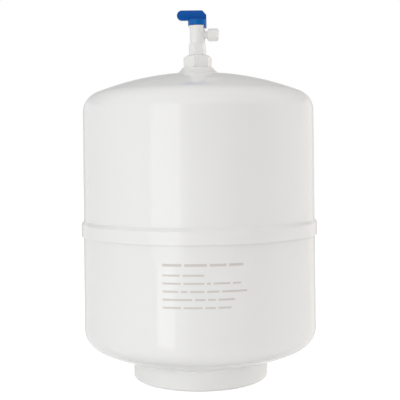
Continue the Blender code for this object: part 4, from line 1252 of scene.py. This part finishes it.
# Steps in each turn of the small thread.
AIR_THREAD_STEPS = 24
# Depth of the cone on the small nut, and its reach inwards as a share of that.
AIR_NUT_CONE = 0.0007
AIR_NUT_CONE_IN = 1.5
# The cap's grip ribs: their number, the plain margins above and below, and the ease at their ends.
RIBS = 24
RIB_MARGIN = 0.0012
RIB_EASE = 0.0004


class TANK_OT_air_valve(bpy.types.Operator):
    """Turns the brass air valve and its nut, and moulds the ribbed cap"""

    bl_idname = "tank.air_valve"
    bl_label = "Air valve"

    def execute(self, context):
        scene = context.scene
        axis = air_axis(scene)
        air = scene.air_valve_sizes
        fit = scene.bowl_sizes.fit
        stem = place(air_stem(air), axis)
        add_piece("air_stem", stem, "turned_brass", "tank", "air_valve_body")
        nut = place(air_nut(air, fit), axis)
        add_piece("air_stem_nut", nut, "turned_brass", "tank", "air_valve_nut", sharp=20.0)
        cap = place(air_cap(air, fit), axis)
        add_piece(
            "air_stem_cap", cap, "black_moulding", "air_cap", "air_valve_cap", sharp=40.0
        )
        shorten_spring()
        return {"FINISHED"}


def shorten_spring():
    """Gives the spring inside the air valve a mesh of its own."""
    spring = frame["nodes"]["air_valve_spring"]
    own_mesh(spring)


def air_stem(air):
    """The threaded stem with its head inside the bowl."""
    root = air.thread_radius - air.thread_depth
    head = -air.head_top
    back = head - air.head
    section = Section(air.bore, air.top)
    section.line((root - EASE, air.top), (root, air.top - EASE), (root, head))
    section.line((air.head_radius - EASE, head), (air.head_radius, head - EASE), (air.head_radius, back))
    section.line((air.bore_step, back), (air.bore_step, air.spring_seat), (air.bore, air.spring_seat))
    ridge = thread(
        air.thread_radius, air.thread_depth, air.thread_pitch, head, air.top - EASE, AIR_THREAD_STEPS
    )
    return combine(section.close().turn(AIR_STEPS), ridge, "UNION")


def air_nut(air, fit):
    """The small nut outside the bowl, with a cone turned on both ends."""
    low = -air.nut_set
    top = low + air.nut_height
    corner = corner_radius(air.nut_flats) + FINE_EASE
    inner = corner - AIR_NUT_CONE * AIR_NUT_CONE_IN
    bore = air.thread_radius + fit
    section = Section(bore, top)
    section.line((inner, top), (corner, top - AIR_NUT_CONE), (corner, low + AIR_NUT_CONE))
    section.line((inner, low), (bore, low))
    bar = hexagon(air.nut_flats, low, top, 0.0, AIR_NUT_EASE)
    return combine(bar, section.close().turn(BORE_STEPS), "INTERSECT")


def air_cap(air, fit):
    """The push-on cap, its side pressed into ribs for grip."""
    outer = air.cap_radius
    corner = outer - air.cap_corner
    ceiling = air.top + fit
    shoulder = air.cap_end - air.cap_corner
    ribs_top = shoulder - RIB_MARGIN
    ribs_low = air.cap_start + RIB_MARGIN
    section = Section(0.0, air.cap_end)
    section.line((corner, air.cap_end))
    section.bend(corner, shoulder, math.pi / 2, CORNER_STEPS)
    for height in (ribs_top, ribs_top - RIB_EASE, ribs_low + RIB_EASE, ribs_low, air.cap_start):
        section.line((outer, height))
    section.line((air.cap_inner, air.cap_start), (air.cap_inner, ceiling), (0.0, ceiling))
    shape = section.turn(CAP_STEPS)
    for vert in shape.verts:
        radius = math.hypot(vert.co.x, vert.co.y)
        if radius < outer - MERGE or not ribs_low < vert.co.z < ribs_top:
            continue
        share = 0.5 - 0.5 * math.cos(RIBS * math.atan2(vert.co.y, vert.co.x))
        vert.co.xy *= 1 - share * air.cap_rib / outer
    return shape


# Studio

# The lamps, in degrees and metres: bearing from the camera, distance, height, size, lean, and whether gloss
# sees the lamp. Each is named for the property that holds its brightness.
LAMPS = {
    "left_softbox": (-29.8, 1.0, 0.325, (0.47, 0.57), 0.0, True),
    "softbox_below": (-30.0, 1.0, -0.05, (0.28, 0.17), 0.0, True),
    "left_fill": (-75.0, 1.5, 0.4, (1.0, 0.8), 0.0, False),
    "right_fill": (115.0, 1.6, 0.5, (1.2, 1.0), 0.0, False),
    "front_fill": (0.0, 1.3, 0.15, (1.0, 0.3), 0.0, False),
    "top_fill": (0.0, 0.1, 1.7, (1.0, 1.0), 90.0, False),
    "floor_bounce": (0.0, 0.0, -0.0002, (0.5, 0.5), -90.0, False),
}
# Side of the floor, its height just below the foot, and the width of the camera's sensor in millimetres.
FLOOR_REACH = 6.0
FLOOR_HEIGHT = -0.0004
SENSOR_WIDTH = 36.0
# Stretches of a direction's X, Y or Z over which one light gives way to the next, with the camera on -Y.
MATT_RISE = (0.0, 0.6)
LEFT_TO_RIGHT = (-0.35, -0.02)
FRONT_TO_SIDE = (-0.65, 0.0)
SIDE_TO_FLANK = (0.84, 0.93)
FLANK_TO_BACKDROP = (0.975, 0.995)
FLANK_FOOT = (-0.3, -0.24)
CEILING_TO_BACK = (0.0, 0.6)
WALL_TO_CEILING = (0.16, 0.32)
SHADOW_TO_FLOOR = (-0.97, -0.55)
WARM_RISE = (-0.1, 0.7)


class TANK_OT_studio(bpy.types.Operator):
    """Sets up the floor, the backdrop's light, the lamps and the camera"""

    bl_idname = "tank.studio"
    bl_label = "Studio"

    def execute(self, context):
        scene = context.scene
        studio = scene.studio
        add_floor(studio)
        light_world(scene, studio)
        for name, setting in LAMPS.items():
            add_softbox(name, getattr(studio, name), *setting)
        bpy.data.lights["right_fill"].color = studio.warm
        add_camera(scene, studio)
        scene.view_settings.view_transform = "Standard"
        return {"FINISHED"}


def add_floor(studio):
    """A wide pale floor that keeps the tank's shadow. Gloss sees the studio's own level through it."""
    mesh = bpy.data.meshes.new("floor")
    shape = bmesh.new()
    bmesh.ops.create_grid(shape, x_segments=1, y_segments=1, size=FLOOR_REACH)
    bmesh.ops.translate(shape, vec=(0.0, 0.0, FLOOR_HEIGHT), verts=shape.verts)
    shape.to_mesh(mesh)
    shape.free()
    floor = bpy.data.objects.new("floor", mesh)
    bpy.context.scene.collection.objects.link(floor)
    floor.visible_glossy = False
    material = bpy.data.materials.new("pale_floor")
    material.use_nodes = True
    material.node_tree.nodes.clear()
    nodes = Nodes(material.node_tree)
    seen = nodes.add("ShaderNodeLightPath").outputs["Is Camera Ray"]
    lift = nodes.work_out("MULTIPLY", seen, studio.floor_lift)
    glow = nodes.add("ShaderNodeEmission", {"Strength": lift}).outputs[0]
    matt = nodes.add("ShaderNodeBsdfDiffuse", {"Color": (*studio.floor, 1.0)}).outputs[0]
    both = nodes.add("ShaderNodeAddShader", {0: matt, 1: glow}).outputs[0]
    nodes.add("ShaderNodeOutputMaterial", {"Surface": both})
    mesh.materials.append(material)


def light_world(scene, studio):
    """White to the camera, the studio's walls and ceiling to gloss, and a plain level to matt surfaces."""
    world = bpy.data.worlds.new("studio")
    scene.world = world
    world.use_nodes = True
    world.node_tree.nodes.clear()
    nodes = Nodes(world.node_tree)
    direction = nodes.add("ShaderNodeTexCoord").outputs["Generated"]
    x, y, z = nodes.add("ShaderNodeSeparateXYZ", {"Vector": direction}).outputs
    path = nodes.add("ShaderNodeLightPath").outputs
    seen = path["Is Camera Ray"]
    matt = nodes.ramp(z, MATT_RISE, studio.ambient, studio.ambient_above)
    glossy = nodes.work_out("MAXIMUM", path["Is Glossy Ray"], path["Is Transmission Ray"])
    level = nodes.mix(glossy, matt, gloss_level(nodes, studio, x, y, z))
    warmth = nodes.work_out("MULTIPLY", nodes.ramp(x, WARM_RISE), nodes.work_out("SUBTRACT", 1.0, seen))
    inputs = {
        "Color": nodes.mix(warmth, (1.0, 1.0, 1.0, 1.0), (*studio.warm, 1.0), "RGBA"),
        "Strength": nodes.mix(seen, level, 1.0),
    }
    back = nodes.add("ShaderNodeBackground", inputs).outputs[0]
    nodes.add("ShaderNodeOutputWorld", {"Surface": back})


def gloss_level(nodes, studio, x, y, z):
    """What gloss sees: the room in front, the walls, the flanks, the backdrop, the ceiling and the shadow."""
    front = nodes.ramp(x, LEFT_TO_RIGHT, studio.front_left, studio.front_right)
    flank = nodes.ramp(y, SIDE_TO_FLANK, studio.surround, studio.flank)
    flank = nodes.mix(nodes.ramp(z, FLANK_FOOT), studio.surround, flank)
    behind = nodes.mix(nodes.ramp(y, FLANK_TO_BACKDROP), flank, 1.0)
    around = nodes.mix(nodes.ramp(y, FRONT_TO_SIDE), front, behind)
    ceiling = nodes.ramp(y, CEILING_TO_BACK, studio.ceiling, studio.ceiling_behind)
    room = nodes.mix(nodes.ramp(z, WALL_TO_CEILING), around, ceiling)
    return nodes.work_out("MULTIPLY", nodes.ramp(z, SHADOW_TO_FLOOR, studio.underfoot), room)


def add_softbox(name, brightness, bearing, distance, height, size, lean, glossy):
    """A rectangular softbox, turned to the tank."""
    light = bpy.data.lights.new(name, "AREA")
    light.shape = "RECTANGLE"
    light.size, light.size_y = size
    light.energy = brightness * math.pi * size[0] * size[1]
    lamp = bpy.data.objects.new(name, light)
    bpy.context.scene.collection.objects.link(lamp)
    turn = math.radians(bearing)
    lamp.location = (distance * math.sin(turn), -distance * math.cos(turn), height)
    lamp.rotation_euler = (math.radians(90.0 - lean), 0.0, turn)
    lamp.visible_camera = False
    lamp.visible_glossy = glossy


def add_camera(scene, studio):
    """The camera at the photograph's viewing angle: level, with the frame shifted down."""
    lens = bpy.data.cameras.new("camera")
    lens.lens = studio.focal
    lens.sensor_width = SENSOR_WIDTH
    lens.shift_x = studio.shift_x
    lens.shift_y = studio.shift_y
    camera = bpy.data.objects.new("camera", lens)
    scene.collection.objects.link(camera)
    camera.location = (0.0, -studio.camera_distance, studio.camera_height)
    level_turn = Matrix.Rotation(math.pi / 2, 4, "X") @ Matrix.Rotation(studio.camera_roll, 4, "Z")
    camera.rotation_euler = level_turn.to_euler()
    scene.camera = camera


# Panel and registration

OPERATORS = (
    TANK_OT_materials,
    TANK_OT_upper_bowl,
    TANK_OT_lower_bowl,
    TANK_OT_stand_ring,
    TANK_OT_print_block,
    TANK_OT_neck_nut,
    TANK_OT_valve_casting,
    TANK_OT_lever,
    TANK_OT_tube_fitting,
    TANK_OT_air_valve,
    TANK_OT_studio,
)


class TANK_PT_panel(bpy.types.Panel):
    """Lists the tank's pieces and the studio"""

    bl_idname = "TANK_PT_panel"
    bl_label = "Storage tank"
    bl_space_type = "VIEW_3D"
    bl_region_type = "UI"
    bl_category = "Tank"

    def draw(self, context):
        for operator in OPERATORS:
            self.layout.operator(operator.bl_idname)


def register():
    for group in PROPERTY_GROUPS.values():
        bpy.utils.register_class(group)
    for operator in OPERATORS:
        bpy.utils.register_class(operator)
    bpy.utils.register_class(TANK_PT_panel)
    for name, group in PROPERTY_GROUPS.items():
        setattr(bpy.types.Scene, name, bpy.props.PointerProperty(type=group))


def unregister():
    for name in PROPERTY_GROUPS:
        delattr(bpy.types.Scene, name)
    bpy.utils.unregister_class(TANK_PT_panel)
    for operator in reversed(OPERATORS):
        bpy.utils.unregister_class(operator)
    for group in reversed(list(PROPERTY_GROUPS.values())):
        bpy.utils.unregister_class(group)


def main():
    register()
    bpy.ops.tank.materials()
    bpy.ops.tank.upper_bowl()
    bpy.ops.tank.lower_bowl()
    bpy.ops.tank.stand_ring()
    bpy.ops.tank.print_block()
    bpy.ops.tank.neck_nut()
    bpy.ops.tank.valve_casting()
    bpy.ops.tank.lever()
    bpy.ops.tank.tube_fitting()
    bpy.ops.tank.air_valve()
    bpy.ops.tank.studio()


if __name__ == "__main__":
    main()
